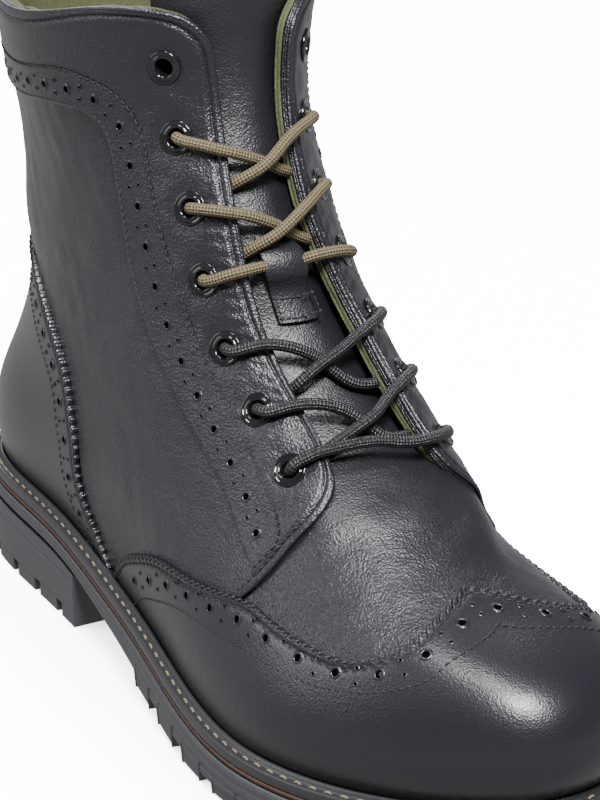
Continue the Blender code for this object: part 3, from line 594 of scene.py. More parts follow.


# Relief of the leather: creases and puckers given in the form's own turns and levels

# Creases: two ends as (turn, level), then half width and depth in millimetres
VAMP_CREASES = (
    ((-30, 0.470), (14, 0.440), 5.0, 0.55),
    ((-26, 0.425), (24, 0.405), 6.0, 0.40),
    ((-34, 0.385), (6, 0.375), 6.0, 0.28),
    ((20, 0.455), (40, 0.395), 3.5, 0.35),
    ((-22, 0.520), (10, 0.500), 4.0, 0.50),
    ((-18, 0.560), (18, 0.545), 4.0, 0.45),
    ((-18, 0.615), (14, 0.600), 4.5, 0.45),
)
QUARTER_CREASES = (
    ((74, 0.500), (108, 0.560), 4.5, 0.50),
    ((78, 0.450), (110, 0.505), 4.5, 0.55),
    ((82, 0.405), (108, 0.445), 4.0, 0.45),
    ((76, 0.560), (116, 0.625), 5.0, 0.45),
    ((72, 0.350), (100, 0.385), 5.0, 0.35),
    ((70, 0.620), (104, 0.665), 5.5, 0.35),
    ((250, 0.500), (286, 0.450), 4.5, 0.50),
    ((246, 0.560), (284, 0.510), 4.5, 0.50),
    ((252, 0.440), (280, 0.400), 4.0, 0.45),
)


def crease_relief(points, creases):
    """Soft dents along the creases, with low shoulders beside them."""
    relief = np.zeros(points.shape[:-1])
    flat = points.reshape(-1, 3)
    for start, end, width, depth in creases:
        ends = np.array((start, end), float)
        turns = np.radians(np.linspace(ends[0, 0], ends[1, 0], 45))
        levels = np.linspace(ends[0, 1], ends[1, 1], 45) + 0.006 * np.sin(np.linspace(0, math.pi, 45))
        spine = form_point(turns, levels)
        away = np.full(len(flat), 1.0)
        along = np.zeros(len(flat))
        for place, share in zip(spine, np.linspace(0, 1, 45)):
            reach = np.linalg.norm(flat - place, axis=1)
            nearer = reach < away
            away[nearer] = reach[nearer]
            along[nearer] = share
        away = away.reshape(relief.shape) / (width * 0.001)
        fade = np.sin(math.pi * np.clip(along.reshape(relief.shape), 0.03, 0.97)) ** 0.7
        relief -= depth * 0.001 * fade * (np.exp(-away**2) - 0.45 * np.exp(-((away - 1.6) / 0.8) ** 2))
    return relief


def upper_relief(points):
    """Leather of the vamp and quarters, never quite flat."""
    relief = 0.00018 * soft_noise(points, 0.016, 3) + 0.00007 * soft_noise(points, 0.005, 4)
    return relief + crease_relief(points, VAMP_CREASES + QUARTER_CREASES)


def eyelet_places():
    """Side, row, centre and outward direction of each eyelet."""
    for side_name, side in (("outer", 1), ("inner", -1)):
        for row, level in enumerate(EYELET_LEVELS, start=1):
            turn = math.radians(EYELET_TURN) * side
            yield side_name, row, boot_point(turn, level), form_normal(turn, level)


def eyelet_relief(points):
    """Leather drawn in and puckered round the eyelets, and rucked between them and the facing's edge."""
    relief = np.zeros(points.shape[:-1])
    for _, row, centre, normal in eyelet_places():
        reach = points - centre
        away = np.linalg.norm(reach, axis=-1)
        near = away < 0.03
        up = np.array((0, 0, 1.0)) - normal * normal[2]
        up /= np.linalg.norm(up)
        side = np.cross(normal, up)
        angle = np.arctan2(reach[near] @ up, reach[near] @ side)
        far = away[near]
        ring = -0.0005 * np.exp(-(far / 0.0058) ** 2) + 0.00030 * np.exp(-((far - 0.0085) / 0.0030) ** 2)
        rays = 0.00006 * np.sin(angle * 7 + row * 1.7) * np.exp(-((far - 0.0085) / 0.0030) ** 2)
        relief[near] += ring + rays
    return relief


def add_upper():
    """Vamp, quarters and shaft outside, cut away where the overlays and the tongue cover it."""
    columns = crowd_turns(620)
    rows = np.unique(np.concatenate([np.linspace(0, 0.92, 165), [TONGUE_ROOT]]))
    turns, levels = np.meshgrid(columns, rows)
    away = np.degrees(np.minimum(turns, 2 * math.pi - turns))
    levels = levels * np.where(away > TONGUE_HALF, collar_level(turns), 1.0)
    points = boot_point(turns, levels, upper_relief(boot_point(turns, levels)))
    front = np.interp(levels, *np.array(EYESTAY_FRONT[:13])[:, ::-1].T)
    seam = np.interp(levels, *np.array(EYESTAY_SEAM[:13])[:, ::-1].T)
    shown = (away > seam - 3) | (levels < 0.30) | ((away < front + 3) & (levels < TONGUE_ROOT + 1e-6))
    wing = np.interp(away, *np.array(WING_EDGE).T, right=0)
    counter = np.interp(away, *np.array(COUNTER_EDGE[5:]).T, left=0)
    shown &= (levels > wing - 0.03) & (levels > counter - 0.03)
    both = shown & np.roll(shown, -1, 1)
    keep = both[:-1] & both[1:]
    add_grid("upper_leather", points, "grain", "upper", wrap=True, keep=keep)


def crowd_turns(count):
    turn = 2 * math.pi * np.arange(count) / count
    return turn - 0.3 * np.sin(turn)


def add_tongue():
    """Tongue: it leaves the vamp under the laces and stands just above the collar."""
    half = np.radians(np.linspace(-TONGUE_HALF, TONGUE_HALF, 150))
    rows = np.concatenate([np.linspace(TONGUE_ROOT, 0.60, 45), np.linspace(0.603, TONGUE_TOP, 110)])
    turns, levels = np.meshgrid(half, rows)
    sink = -TONGUE_SET * smooth_step(levels, TONGUE_ROOT + 0.006, TONGUE_ROOT + 0.115)
    points = form_point(turns, levels, sink)
    relief = upper_relief(form_point(turns, levels)) * 0.9
    relief += 0.0004 * smooth_step(levels, 0.6, 0.7) * soft_noise(points * (1.6, 1, 1), 0.020, 11)
    edge = np.abs(turns) / math.radians(TONGUE_HALF)
    roll = -0.0016 * smooth_step(edge, 0.93, 1.0)
    outer = form_point(turns, levels, sink + relief + roll)
    inner = form_point(turns, levels, sink - TONGUE_THICKNESS)
    rim = form_point(turns[-1:], levels[-1:] + 0.006, sink[-1:] - TONGUE_THICKNESS * 0.5)
    sheet = np.concatenate([outer, rim, inner[::-1]])
    add_grid("tongue_leather", sheet, "tongue", "tongue")


def ruled_lines(first, second, pitch):
    """Two tables of matching (turn, level) rows as two lines with matching points, about a pitch apart."""
    steps = np.linspace(0, len(first) - 1, (len(first) - 1) * 60 + 1)
    lines = [natural_cubic(np.array(table, float), steps) for table in (first, second)]
    lines = [np.stack([np.radians(line[:, 0]), line[:, 1]], -1) for line in lines]
    length = (line_length(lines[0]) + line_length(lines[1])) / 2
    at = np.linspace(0, length[-1], int(length[-1] / pitch) + 1)
    return [both_sides(read_line(line, length, at)) for line in lines]


# Profile of the facing's and collar's free edge from its outer leather round to the lining:
# height over the form and reach past the edge, in millimetres
EDGE_PROFILE = ((1.72, 0.10), (1.66, 0.40), (1.46, 0.72), (1.14, 0.92), (0.78, 0.92), (0.50, 0.72),
                (0.36, 0.30), (0.26, 0.62), (0.02, 0.74), (-0.26, 0.62), (-0.38, 0.22), (-0.50, 0.54),
                (-0.82, 0.62),
                (-1.10, 0.48), (-1.28, 0.14), (-1.60, 0.0))


def add_eyestay():
    """Facings, collar and perforated band: one overlay from the wing up the facing and round the back."""
    front, seam = ruled_lines(EYESTAY_FRONT, EYESTAY_SEAM, 0.0008)
    width = np.linalg.norm(line_points(front) - line_points(seam), axis=1)
    near = np.array((0, 0.3, 0.6, 0.9, 1.2, 1.5, 1.8, 2.1, 2.4, 2.7, 3.1, 3.6, 4.2)) * 0.001
    far = np.array((1.4, 1.0, 0.6, 0.3, 0.0)) * 0.001
    fit = np.minimum(1.0, width / 0.009)
    inner = np.linspace(0, 1, 52)[1:-1, None]
    first = near[:, None] * fit / width
    last = 1 - far[:, None] * fit / width
    share = np.concatenate([first, first[-1] + (last[0] - first[-1]) * inner, last])
    turns = front[:, 0] + (seam[:, 0] - front[:, 0]) * share
    levels = front[:, 1] + (seam[:, 1] - front[:, 1]) * share
    from_front = share * width
    from_seam = (1 - share) * width
    base = boot_point(turns, levels)
    top = OVERLAY_HIGH - 0.0003 * bump(from_seam, 0, 0.0006)
    top = top + 0.00030 * bump(from_front, 0.0008, 0.0009) - 0.00048 * bump(from_front, 0.0024, 0.0006)
    top = top + 0.00015 * bump(from_front, 0.0042, 0.0014)
    ruck = np.sin(levels * 2 * math.pi * 72 + 1.8 * soft_noise(base, 0.012, 21))
    strip = bump(from_front, 0.0065, 0.0040) * smooth_step(levels, 0.52, 0.60)
    strip = strip * smooth_step(0.84 - levels, 0, 0.06)
    top = top + 0.00016 * ruck * strip
    top = top + eyelet_relief(base) + 0.00010 * soft_noise(base, 0.016, 5)
    inner_line = line_points(even_line(smooth_outline(BAND_INNER), 0.001))
    top = top - 0.00030 * groove(base, inner_line, 0.0007)
    sheet = boot_point(turns, levels, top)
    past = line_points(front) - boot_point(turns[6], levels[6])
    past /= np.linalg.norm(past, axis=1)[:, None]
    rim = [line_points(front, height * 0.001) + past * reach * 0.001
           for height, reach in EDGE_PROFILE[::-1]]
    foot = line_points(seam, -0.0004)[None]
    points = np.concatenate([np.array(rim), sheet, foot])
    gone = np.zeros(points.shape[:2], bool)
    offset = len(rim)
    for _, _, centre, _ in eyelet_places():
        gone[offset:-1] |= np.linalg.norm(base - centre, axis=-1) < 0.0032
    keep = ~(gone[:-1, :-1] | gone[1:, :-1] | gone[:-1, 1:] | gone[1:, 1:])
    add_grid("eyestay_leather", points, "grain", "eyestay", keep=keep)
    fuzz = 0.0003 * soft_noise(line_points(front), 0.006, 51)
    free = smooth_step(front[:, 1], 0.52, 0.58)
    hem = [line_points(front, (-1.5 - 0.35 * step * free) * 0.001)
           + past * (0.0003 * math.sin(step) + fuzz)[:, None] * free[:, None] for step in range(7)]
    suede = np.concatenate([np.array(hem), boot_point(turns[1:], levels[1:], -(WALL + 0.0011))])
    add_grid("lining_facing", suede, "suede", flip=True)
    return front, seam


def add_lining():
    """Suede inside the shaft, down to the insole."""
    turns, levels = np.meshgrid(np.radians(np.linspace(50, 310, 180)), np.linspace(0.0, 0.93, 60))
    points = form_point(turns, levels * collar_level(turns), -(WALL + 0.0004))
    add_grid("lining_shaft", points, "suede", flip=True)
    turns, levels = np.meshgrid(np.radians(np.linspace(-60, 60, 90)), np.linspace(0.0, 0.47, 40))
    add_grid("lining_vamp", form_point(turns, levels, -(WALL + 0.0004)), "suede", flip=True)


GIMP_PITCH = 0.0030
GIMP_DEPTH = 0.0016


def tooth(length, pitch, depth):
    """Gimped edge: small teeth along a line."""
    share = np.mod(length / pitch, 1.0)
    return depth * (1 - np.abs(2 * share - 1))


def add_cap(name, edge_table, foot_level, node, seed, inner_row, rows=64):
    """Wing cap or heel counter: gimped edge, sunk stitch rows, smooth leather down to the welt."""
    edge = even_line(smooth_outline(edge_table), 0.00055)
    length = line_length(edge)
    foot = edge[0, 0] + (edge[-1, 0] - edge[0, 0]) * length / length[-1]
    drop = line_points(edge) - boot_point(foot, np.full(len(edge), foot_level))
    height = np.maximum(np.linalg.norm(drop, axis=1), 0.0005)
    near = np.array((0, 0.35, 0.8, 1.3, 1.7, 2.0, 2.3, 2.7, 3.2, 4.0, 5.0, 6.2, 7.4, 8.2, 8.8, 9.4, 10.2))
    near = near * 0.001
    fit = np.minimum(1.0, height / 0.014)
    first = near[:, None] * fit / height
    share = np.concatenate([first, first[-1] + (1 - first[-1]) * np.linspace(0, 1, rows)[1:, None]])
    cut = tooth(length, GIMP_PITCH, GIMP_DEPTH) * fit / height
    share = cut + (1 - cut) * share
    turns = edge[:, 0] + (foot - edge[:, 0]) * share
    levels = edge[:, 1] + (foot_level - edge[:, 1]) * share
    base = form_point(turns, levels)
    away = np.sqrt(nearest_square(base, line_points(even_line(edge, 0.0015))))
    top = OVERLAY_HIGH - 0.00045 * bump(away, 0.0027, 0.0005) + 0.0002 * bump(away, 0.0012, 0.0008)
    top = top - 0.0003 * groove(base, line_points(even_line(inner_row, 0.001), OVERLAY_HIGH), 0.0008)
    top = top + 0.00008 * soft_noise(base, 0.020, seed)
    lips = [boot_point(turns[:1], levels[:1], low) for low in (-0.0004, 0.0006, OVERLAY_HIGH - 0.0003)]
    points = np.concatenate([*lips, boot_point(turns, levels, top)[1:]])
    add_grid(name, points, "cap", node, flip=True)
    return edge


# Stitches and perforations

def frames_along(points, normals):
    along = np.gradient(points, axis=0)
    along /= np.linalg.norm(along, axis=1)[:, None]
    side = np.cross(normals, along)
    side /= np.linalg.norm(side, axis=1)[:, None]
    return np.stack([along, side, np.cross(along, side)], -1)


def repeat_shape(name, shape, faces, places, frames, look):
    """Copies of a small shape at places, as one piece."""
    points = places[:, None] + np.einsum("nij,kj->nki", frames, shape)
    every = (faces[None] + (np.arange(len(places)) * len(shape))[:, None, None]).reshape(-1, faces.shape[1])
    return add_piece(name, points, every, look)


def stitch_shape(length, radius):
    """One stitch: a short thread that dips at both ends."""
    stations = np.linspace(-1, 1, 7)
    rings = []
    for share in stations:
        thick = radius * math.sqrt(max(1 - share**4, 0.02))
        for corner in range(6):
            angle = 2 * math.pi * corner / 6
            sag = -radius * 1.1 * share**2
            rings.append((share * length / 2, thick * math.cos(angle), thick * math.sin(angle) * 0.8 + sag))
    faces = [(i * 6 + j, i * 6 + (j + 1) % 6, i * 6 + 6 + (j + 1) % 6, i * 6 + 6 + j)
             for i in range(6) for j in range(6)]
    return np.array(rings), np.array(faces)


def add_stitches(name, line, height, pitch=0.0024, radius=0.00026, look="thread",
                 fill=0.86, slant=0):
    """Row of stitches along a line on the form; slant turns each by that many degrees."""
    row = even_line(line, pitch)
    shape, faces = stitch_shape(pitch * fill, radius)
    shape = shape @ np.array(Matrix.Rotation(math.radians(slant), 3, "Z")).T
    frames = frames_along(line_points(row, height), form_normal(row[:, 0], row[:, 1]))
    repeat_shape(name, shape, faces, line_points(row, height), frames, look)


def hole_shapes(radius, sides=14):
    """Rim of a punched hole, and a flat disc at its bottom that carries the hole's painted shade."""
    ring = circle(sides)
    rim = [ring * (radius * scale, radius * scale, 0) + (0, 0, height * radius)
           for scale, height in ((1.75, -0.12), (1.45, 0.12), (1.2, 0.2), (1.02, 0.1), (0.88, -0.06))]
    painted_shade = [ring * (radius, radius, 0) + (0, 0, 0.02 * radius), ring * 0]
    return (np.concatenate(rim), grid_faces(5, sides, wrap=True)[:, ::-1],
            np.concatenate(painted_shade), grid_faces(2, sides, wrap=True)[:, ::-1])


def add_holes(name, line, height, radius, pitch, phase=0.0, sides=(0.0,), look="cap"):
    """Row of punched holes along a line; sides gives how far to each side of the line a hole lies."""
    length = line_length(line)
    at = np.arange(pitch * (0.5 + phase), length[-1] - pitch * 0.3, pitch)
    row = read_line(line, length, at)
    rows = np.concatenate([inset_line(row, side) for side in sides])
    order = np.concatenate([frames_along(line_points(row), form_normal(row[:, 0], row[:, 1])) for _ in sides])
    rim, rim_faces, painted_shade, pit_faces = hole_shapes(radius)
    places = line_points(rows, height)
    repeat_shape(name + "_rims", rim, rim_faces, places, order, look)
    # The discs in painted shade stand for the dark inside each hole
    repeat_shape(name + "_shade_discs", painted_shade, pit_faces, places, order, "painted_shade")


def add_broguing(front, seam):
    """Stitch rows and punched holes on the facing and its band."""
    add_stitches("facing_stitch", inset_line(front, 0.0023), OVERLAY_HIGH - 0.0003)
    add_stitches("band_outer_stitch", inset_line(seam, -0.0012), OVERLAY_HIGH, 0.0022, 0.00028)
    add_stitches("band_inner_stitch", smooth_outline(BAND_INNER), ON_OVERLAY, 0.0024, 0.0003)
    holes = smooth_outline(BAND_HOLES)
    add_holes("band_hole", holes, ON_OVERLAY, 0.00105, 0.0118)
    add_holes("band_dot", holes, ON_OVERLAY, 0.00045, 0.0118, 0.5, (0.0019, -0.0019))


def add_wing_and_counter():
    """Wing cap and heel counter, with their gimped edges, stitch rows and holes."""
    counter_inner = inset_line(even_line(smooth_outline(COUNTER_EDGE), 0.003), 0.0120)
    caps = (
        ("wing", WING_EDGE, "wing_cap", 31, smooth_outline(WING_INNER), 64, 0.00046, 0.95, 0.0138, 0.0021),
        ("counter", COUNTER_EDGE, "heel_counter", 41, counter_inner, 80, 0.00034, 1.05, 0.0118, 0.0018),
    )
    for name, table, node, seed, inner, rows, gimp_radius, gimp_fill, pitch, dots in caps:
        edge = add_cap(name + "_leather", table, 0.0, node, seed, inner, rows)
        row = even_line(edge, 0.002)
        add_stitches(name + "_gimp", inset_line(row, 0.0009), ON_OVERLAY, GIMP_PITCH, gimp_radius, "gimp",
                     gimp_fill, 30)
        add_stitches(name + "_edge_stitch", inset_line(row, 0.0027), OVERLAY_HIGH - 0.0002, 0.0030, 0.00036)
        add_stitches(name + "_inner_stitch", inner, ON_OVERLAY, 0.0024, 0.0003)
        holes = smooth_outline(WING_HOLES) if name == "wing" else inset_line(even_line(edge, 0.003), 0.0074)
        add_holes(name + "_hole", holes, ON_OVERLAY, 0.00115, pitch)
        add_holes(name + "_dot", holes, ON_OVERLAY, 0.0005, pitch, 0.5, (dots, -dots))


# Eyelets, laces and the loop

# Radius and height of the ring's section, in millimetres, from the flange round into the bore
EYELET_PROFILE = ((5.0, 0.45), (5.0, 0.85), (4.75, 1.10), (4.35, 1.12), (4.05, 0.92), (3.85, 0.86),
                  (3.65, 1.02), (3.35, 1.22), (3.00, 1.20), (2.70, 0.95), (2.55, 0.5), (2.50, -0.5),
                  (2.50, -4.6))


def frame_at(centre, normal):
    turn = Vector(normal).to_track_quat("Z", "Y").to_matrix()
    return np.array(turn), np.array(centre)


def add_eyelets():
    """Gloss black eyelets with a rolled rim inside a flat flange."""
    ring = circle(40)
    for side_name, row, centre, normal in eyelet_places():
        turn, place = frame_at(centre, normal)
        rows = [ring * (radius * 0.001, radius * 0.001, 0) + (0, 0, OVERLAY_HIGH + (height - 0.7) * 0.001)
                for radius, height in EYELET_PROFILE]
        points = np.array(rows) @ turn.T + place
        add_grid(f"eyelet_ring_{side_name}_{row}", points, "metal",
                 f"eyelet_{side_name}_{row}", wrap=True, flip=True)


def add_eyelet_painted_shade():
    """Disc of painted shade behind the two empty eyelets, where they look into shadow."""
    sides = 24
    ring = circle(sides) * 0.0027
    for side_name, row, centre, normal in eyelet_places():
        if row == 1:
            turn, place = frame_at(centre, normal)
            # Painted shade: a dark disc set just under the form behind the eyelet
            points = np.concatenate([ring, [(0, 0, 0)]]) @ turn.T + place - normal * 0.0016
            faces = [(j, (j + 1) % sides, sides) for j in range(sides)]
            add_piece(f"eyelet_painted_shade_{side_name}", points, faces, "painted_shade")


def tube(name, route, radius, look, node=None, sides=16):
    """Round cord along a route, with the length and round coordinates that its braid follows."""
    route = np.asarray(route, float)
    length = path_length(route)
    at = np.linspace(0, length[-1], int(length[-1] / 0.0006) + 2)
    knots = np.interp(at, length, np.arange(len(route)))
    path = natural_cubic(route, knots)
    along = np.gradient(path, axis=0)
    along /= np.linalg.norm(along, axis=1)[:, None]
    side = np.cross(along[0], (0, 0, 1.0))
    rings = []
    for place, heading in zip(path, along):
        side = side - heading * (side @ heading)
        side /= np.linalg.norm(side)
        up = np.cross(heading, side)
        angle = 2 * math.pi * np.arange(sides + 1) / sides
        rings.append(place + radius * (np.cos(angle)[:, None] * side + np.sin(angle)[:, None] * up))
    points = np.array(rings)
    piece = add_grid(name, points, look, node)
    layer = piece.data.uv_layers.new(name="cord")
    index = np.empty(len(piece.data.loops), int)
    piece.data.loops.foreach_get("vertex_index", index)
    uv = np.stack([(index % (sides + 1)) / sides, at[index // (sides + 1)]], -1)
    layer.data.foreach_set("uv", uv.reshape(-1))


# Lace runs between the eyelets of a row on the outer side and the inner facing, as (turn, level past that
# row's eyelets, height over the form in millimetres). An under run ends under the inner facing, and an over
# run starts under the outer one.
NEAR_END = ((35.8, 0, -3.5), (35.6, 0, 0.4), (34.6, 0, 2.7))
FAR_END = ((-31, 0.001, 4.5), (-34.6, 0, 3.2), (-35.6, 0, 0.4), (-35.8, 0, -3.5))
UNDER_RUNS = {
    2: ((32.3, -0.003, 3.6), (26.5, -0.007, 4.0), (20.3, -0.012, 3.9), (14.1, -0.016, 2.4), (1.0, -0.025, -0.5),
        (-10.7, -0.036, -1.8), (-21.3, -0.045, -2.6), (-27, -0.048, -3.8)),
    3: ((31.7, 0, 3.6), (25.3, -0.001, 4.0), (19.4, -0.003, 3.8), (12.9, -0.006, 2.4), (1.5, -0.015, -0.5),
        (-7.9, -0.026, -1.8), (-18, -0.038, -2.4), (-26, -0.045, -3.8)),
    5: ((32.1, -0.002, 3.6), (26.0, 0.004, 4.0), (20.1, 0.008, 3.8), (13.3, 0.006, 2.4), (5.1, -0.003, 0.2),
        (-1.2, -0.018, -1.2), (-9.9, -0.034, -1.8), (-19, -0.045, -2.4), (-26, -0.050, -3.8)),
    6: ((31.7, -0.002, 3.6), (25.6, 0.005, 4.0), (19.7, 0.010, 3.8), (11.7, 0.012, 2.4), (2.7, 0.005, 0.4),
        (-3.7, -0.010, -1.0), (-10.4, -0.023, -1.8), (-19, -0.033, -2.4), (-26, -0.038, -3.8)),
}
OVER_RUNS = {
    2: ((25, -0.053, -3.8), (18.8, -0.047, -1.9), (11.4, -0.040, 0.2), (2.0, -0.031, 2.4), (-4.9, -0.019, 3.6),
        (-11.9, -0.008, 4.0), (-18.5, -0.002, 4.2), (-26, 0.001, 4.6)),
    3: ((25, -0.050, -3.8), (19.3, -0.043, -1.9), (13.1, -0.035, 0.2), (4.2, -0.026, 2.4), (-5.7, -0.014, 3.6),
        (-16.1, -0.004, 4.2), (-24, 0.001, 4.6)),
    5: ((24, -0.038, -3.8), (18.3, -0.031, -1.9), (13.7, -0.025, 0.0), (4.8, -0.013, 2.3), (-3.6, -0.006, 3.4),
        (-12.7, 0.000, 4.2), (-22.9, 0.002, 4.6)),
    6: ((26, -0.038, -3.8), (20.3, -0.031, -1.9), (12.6, -0.021, 0.2), (2.3, -0.011, 2.4), (-5.7, -0.005, 3.6),
        (-14.4, 0.003, 4.2), (-23.1, 0.004, 4.6)),
}
BARS = {
    4: ((31.8, 0.001, 3.6), (25.2, 0.008, 4.0), (19.3, 0.013, 3.4), (12.7, 0.017, 0.6), (6.5, 0.019, -1.5),
        (1.2, 0.019, -1.9), (-4.0, 0.018, -1.2), (-8.5, 0.018, 0.8), (-13.4, 0.017, 3.0),
        (-23.2, 0.010, 4.5)),
    7: ((32.3, 0.007, 3.6), (26.3, 0.020, 4.0), (20.5, 0.029, 3.6), (11.0, 0.037, 3.0), (0.0, 0.037, 3.2),
        (-9.3, 0.027, 3.8), (-18.3, 0.016, 4.4), (-25.3, 0.007, 4.7)),
}


def lace_route(run, level):
    """Points of a run, given from the form on the outer side and from the lifted facing on the inner one."""
    run = np.array(run, float)
    turns, levels, heights = np.radians(run[:, 0]), level + run[:, 1], run[:, 2] * 0.001
    low, high = form_point(turns, levels, heights), boot_point(turns, levels, heights)
    return low + (high - low) * smooth_step(-run[:, 0], 13, 24)[:, None]


def add_laces():
    """Olive lace on rows 2 to 4 and black lace on rows 5 to 7, each ending in a bar."""
    for color, rows, bar_row in (("olive", (2, 3), 4), ("black", (5, 6), 7)):
        for row in rows:
            level = EYELET_LEVELS[row - 1]
            node = f"lace_{color}_cross_{row}_{row + 1}"
            under = lace_route(NEAR_END + UNDER_RUNS[row], level)
            over = lace_route(OVER_RUNS[row] + FAR_END, level)
            tube(f"lace_{color}_under_{row}", under, LACE_RADIUS, color, node)
            tube(f"lace_{color}_over_{row}", over, LACE_RADIUS, color, node)
        route = lace_route(NEAR_END + BARS[bar_row] + FAR_END, EYELET_LEVELS[bar_row - 1])
        tube(f"lace_{color}_bar_cord", route, LACE_RADIUS, color, f"lace_{color}_bar")


# The loop: (level, height over the tongue in millimetres) along it, then its middle and half width in degrees
LOOP_LINE = ((0.684, 0.25), (0.698, 0.25), (0.710, 0.45), (0.718, 1.4), (0.725, 3.0), (0.732, 4.0),
             (0.740, 4.2), (0.748, 3.6), (0.755, 2.2), (0.760, 0.8), (0.764, 0.1), (0.770, -0.6))
LOOP_MIDDLE = 1.8
LOOP_HALF = 10.5


def add_loop():
    """Leather loop on the tongue that holds the lace."""
    line = natural_cubic(LOOP_LINE, np.linspace(0, len(LOOP_LINE) - 1, 70))
    across, levels = np.meshgrid(np.linspace(-1, 1, 29), line[:, 0])
    spread = np.radians(LOOP_MIDDLE + LOOP_HALF * across)
    bed = -TONGUE_SET + line[:, 1:2] * 0.001 + 0.0002 * soft_noise(form_point(spread, levels), 0.008, 61)
    edge = 0.0003 * smooth_step(np.abs(across), 0.9, 1.0)
    outer = form_point(spread, levels, bed + LOOP_THICKNESS - edge)
    inner = form_point(spread, levels, bed + 0 * spread)
    sheet = np.concatenate([inner[:, :1], outer, inner[:, ::-1]], 1)
    add_grid("loop_leather", sheet, "tongue", "tongue_loop")
    low, high = LOOP_LINE[0][0] + 0.004, LOOP_LINE[2][0] - 0.003
    left, right = LOOP_MIDDLE - LOOP_HALF * 0.82, LOOP_MIDDLE + LOOP_HALF * 0.82
    box = np.array(((left, low), (right, low), (right, high), (left, high), (left, low)))
    for first, last in zip(box[:-1], box[1:]):
        line = np.linspace(first, last, 20) * (math.radians(1), 1)
        name = f"loop_stitch_{int(first[0] > left)}{int(first[1] > low)}"
        add_stitches(name, line, -TONGUE_SET + 0.00025 + LOOP_THICKNESS + 0.0002, 0.0020, 0.00026)


# Sole

def outline_point(turn, outset, height):
    """Point of the sole's outline, set out from the feather line, at a height above the floor."""
    point = last_point(turn, 0) - ORIGIN + form_normal(turn, 0) * np.asarray(outset, float)[..., None]
    point[..., 2] = height
    return point


def feather_height(turn):
    return last_point(turn, 0)[..., 2]


def strip_top(turn):
    return feather_height(turn) - WELT_STACK


def strip_bottom(turn):
    along = last_point(turn, 0)[..., 0] / LAST_LENGTH
    return strip_top(turn) - (STRIP_HEEL + (STRIP_FORE - STRIP_HEEL) * smooth_step(along, 0.26, 0.50))


SOLE_TURNS = crowd_turns(360)
SOLE_X = outline_point(SOLE_TURNS, WELT_MARGIN, 0.0)[:, 0]
LUG_SHOULDER = 0.0012
MM = 0.001
SIDE_LUGS = 9


def add_ring(name, rows, look, node=None, flip=False):
    """Band round the sole through rows of (outset, height)."""
    points = np.array([outline_point(SOLE_TURNS, outset, height) for outset, height in rows])
    return add_grid(name, points, look, node, wrap=True, flip=flip)


def add_underside(name, outset, height, look):
    """Flat cross strips that close a band below."""
    points = outline_point(SOLE_TURNS, outset, height)
    count = len(points)
    half = count // 2
    faces = [(j, j + 1, count - j - 1, count - j) for j in range(1, half - 1)]
    faces += [(0, 1, count - 1, count - 1), (half - 1, half, half + 1, half + 1)]
    faces = [tuple(dict.fromkeys(face))[::-1] for face in faces]
    add_piece(name, points, faces, look, smooth=False)


def add_welt():
    """Welt: storm bead beside the upper, a groove with light stitches, and a rounded edge."""
    top = feather_height(SOLE_TURNS) - FIT_GAP
    low = top - WELT_THICKNESS
    bead = ((1.6, -0.1), (1.7, 0.6), (1.95, 1.15), (2.4, 1.35), (2.9, 1.15), (3.2, 0.55), (3.4, -0.05),
            (3.7, -0.25), (4.4, -0.3), (4.8, -0.1), (5.3, 0), (5.75, -0.1), (5.95, -0.4), (6.0, -1.0),
            (5.9, -2.6), (5.7, -3.3))
    rows = [(-0.006, low), (-0.006, top)]
    rows += [(out * MM, top + rise * MM) for out, rise in bead]
    rows.append((5.3 * MM, low))
    add_ring("welt_leather", rows[::-1], "welt", "welt")
    length = line_length(np.stack([SOLE_TURNS, 0 * SOLE_TURNS], -1))
    around = length[-1]
    count = int(around / 0.0050)
    turns = np.interp(np.arange(count) * around / count, length, SOLE_TURNS)
    places = outline_point(turns, 0.0041, feather_height(turns) - FIT_GAP - 0.00005)
    shape, faces = stitch_shape(0.0030, 0.00042)
    frames = frames_along(places, np.tile((0.0, 0.0, 1.0), (count, 1)))
    repeat_shape("welt_stitches", shape, faces, places, frames, "beige")
    rows = [(out * MM, low - drop * MM) for out, drop in ((5.2, 0), (5.85, 0.1), (5.9, 0.9), (5.4, 1.5))]
    add_ring("midsole_edge", rows[::-1], "rust", "midsole")


def add_outsole():
    """Rubber strip with a rounded top edge and faint ribs, and its lugs."""
    high = strip_top(SOLE_TURNS)
    low = strip_bottom(SOLE_TURNS) + LUG_SHOULDER * smooth_step(-SOLE_X, -0.02, 0.02)
    rows = [(5.0 * MM, high), (5.7 * MM, high - 0.05 * MM), (6.0 * MM, high - 0.45 * MM)]
    for share in (0.30, 0.34, 0.38, 0.66, 0.70, 0.74):
        dent = 0.12 * MM if share in (0.34, 0.70) else 0.0
        rows.append((6.05 * MM - dent, high + (low - high) * share))
    rows += [(6.1 * MM, low + 0.2 * MM), (5.9 * MM, low)]
    add_ring("outsole_strip", rows[::-1], "rubber", "outsole")
    add_underside("outsole_underside", 0.0059, low, "rubber")
    add_lugs()


def outline_length(side):
    turns = np.radians(np.linspace(0, 180, 721)) * side
    points = outline_point(turns, WELT_MARGIN, 0.0)
    return turns, path_length(points), points


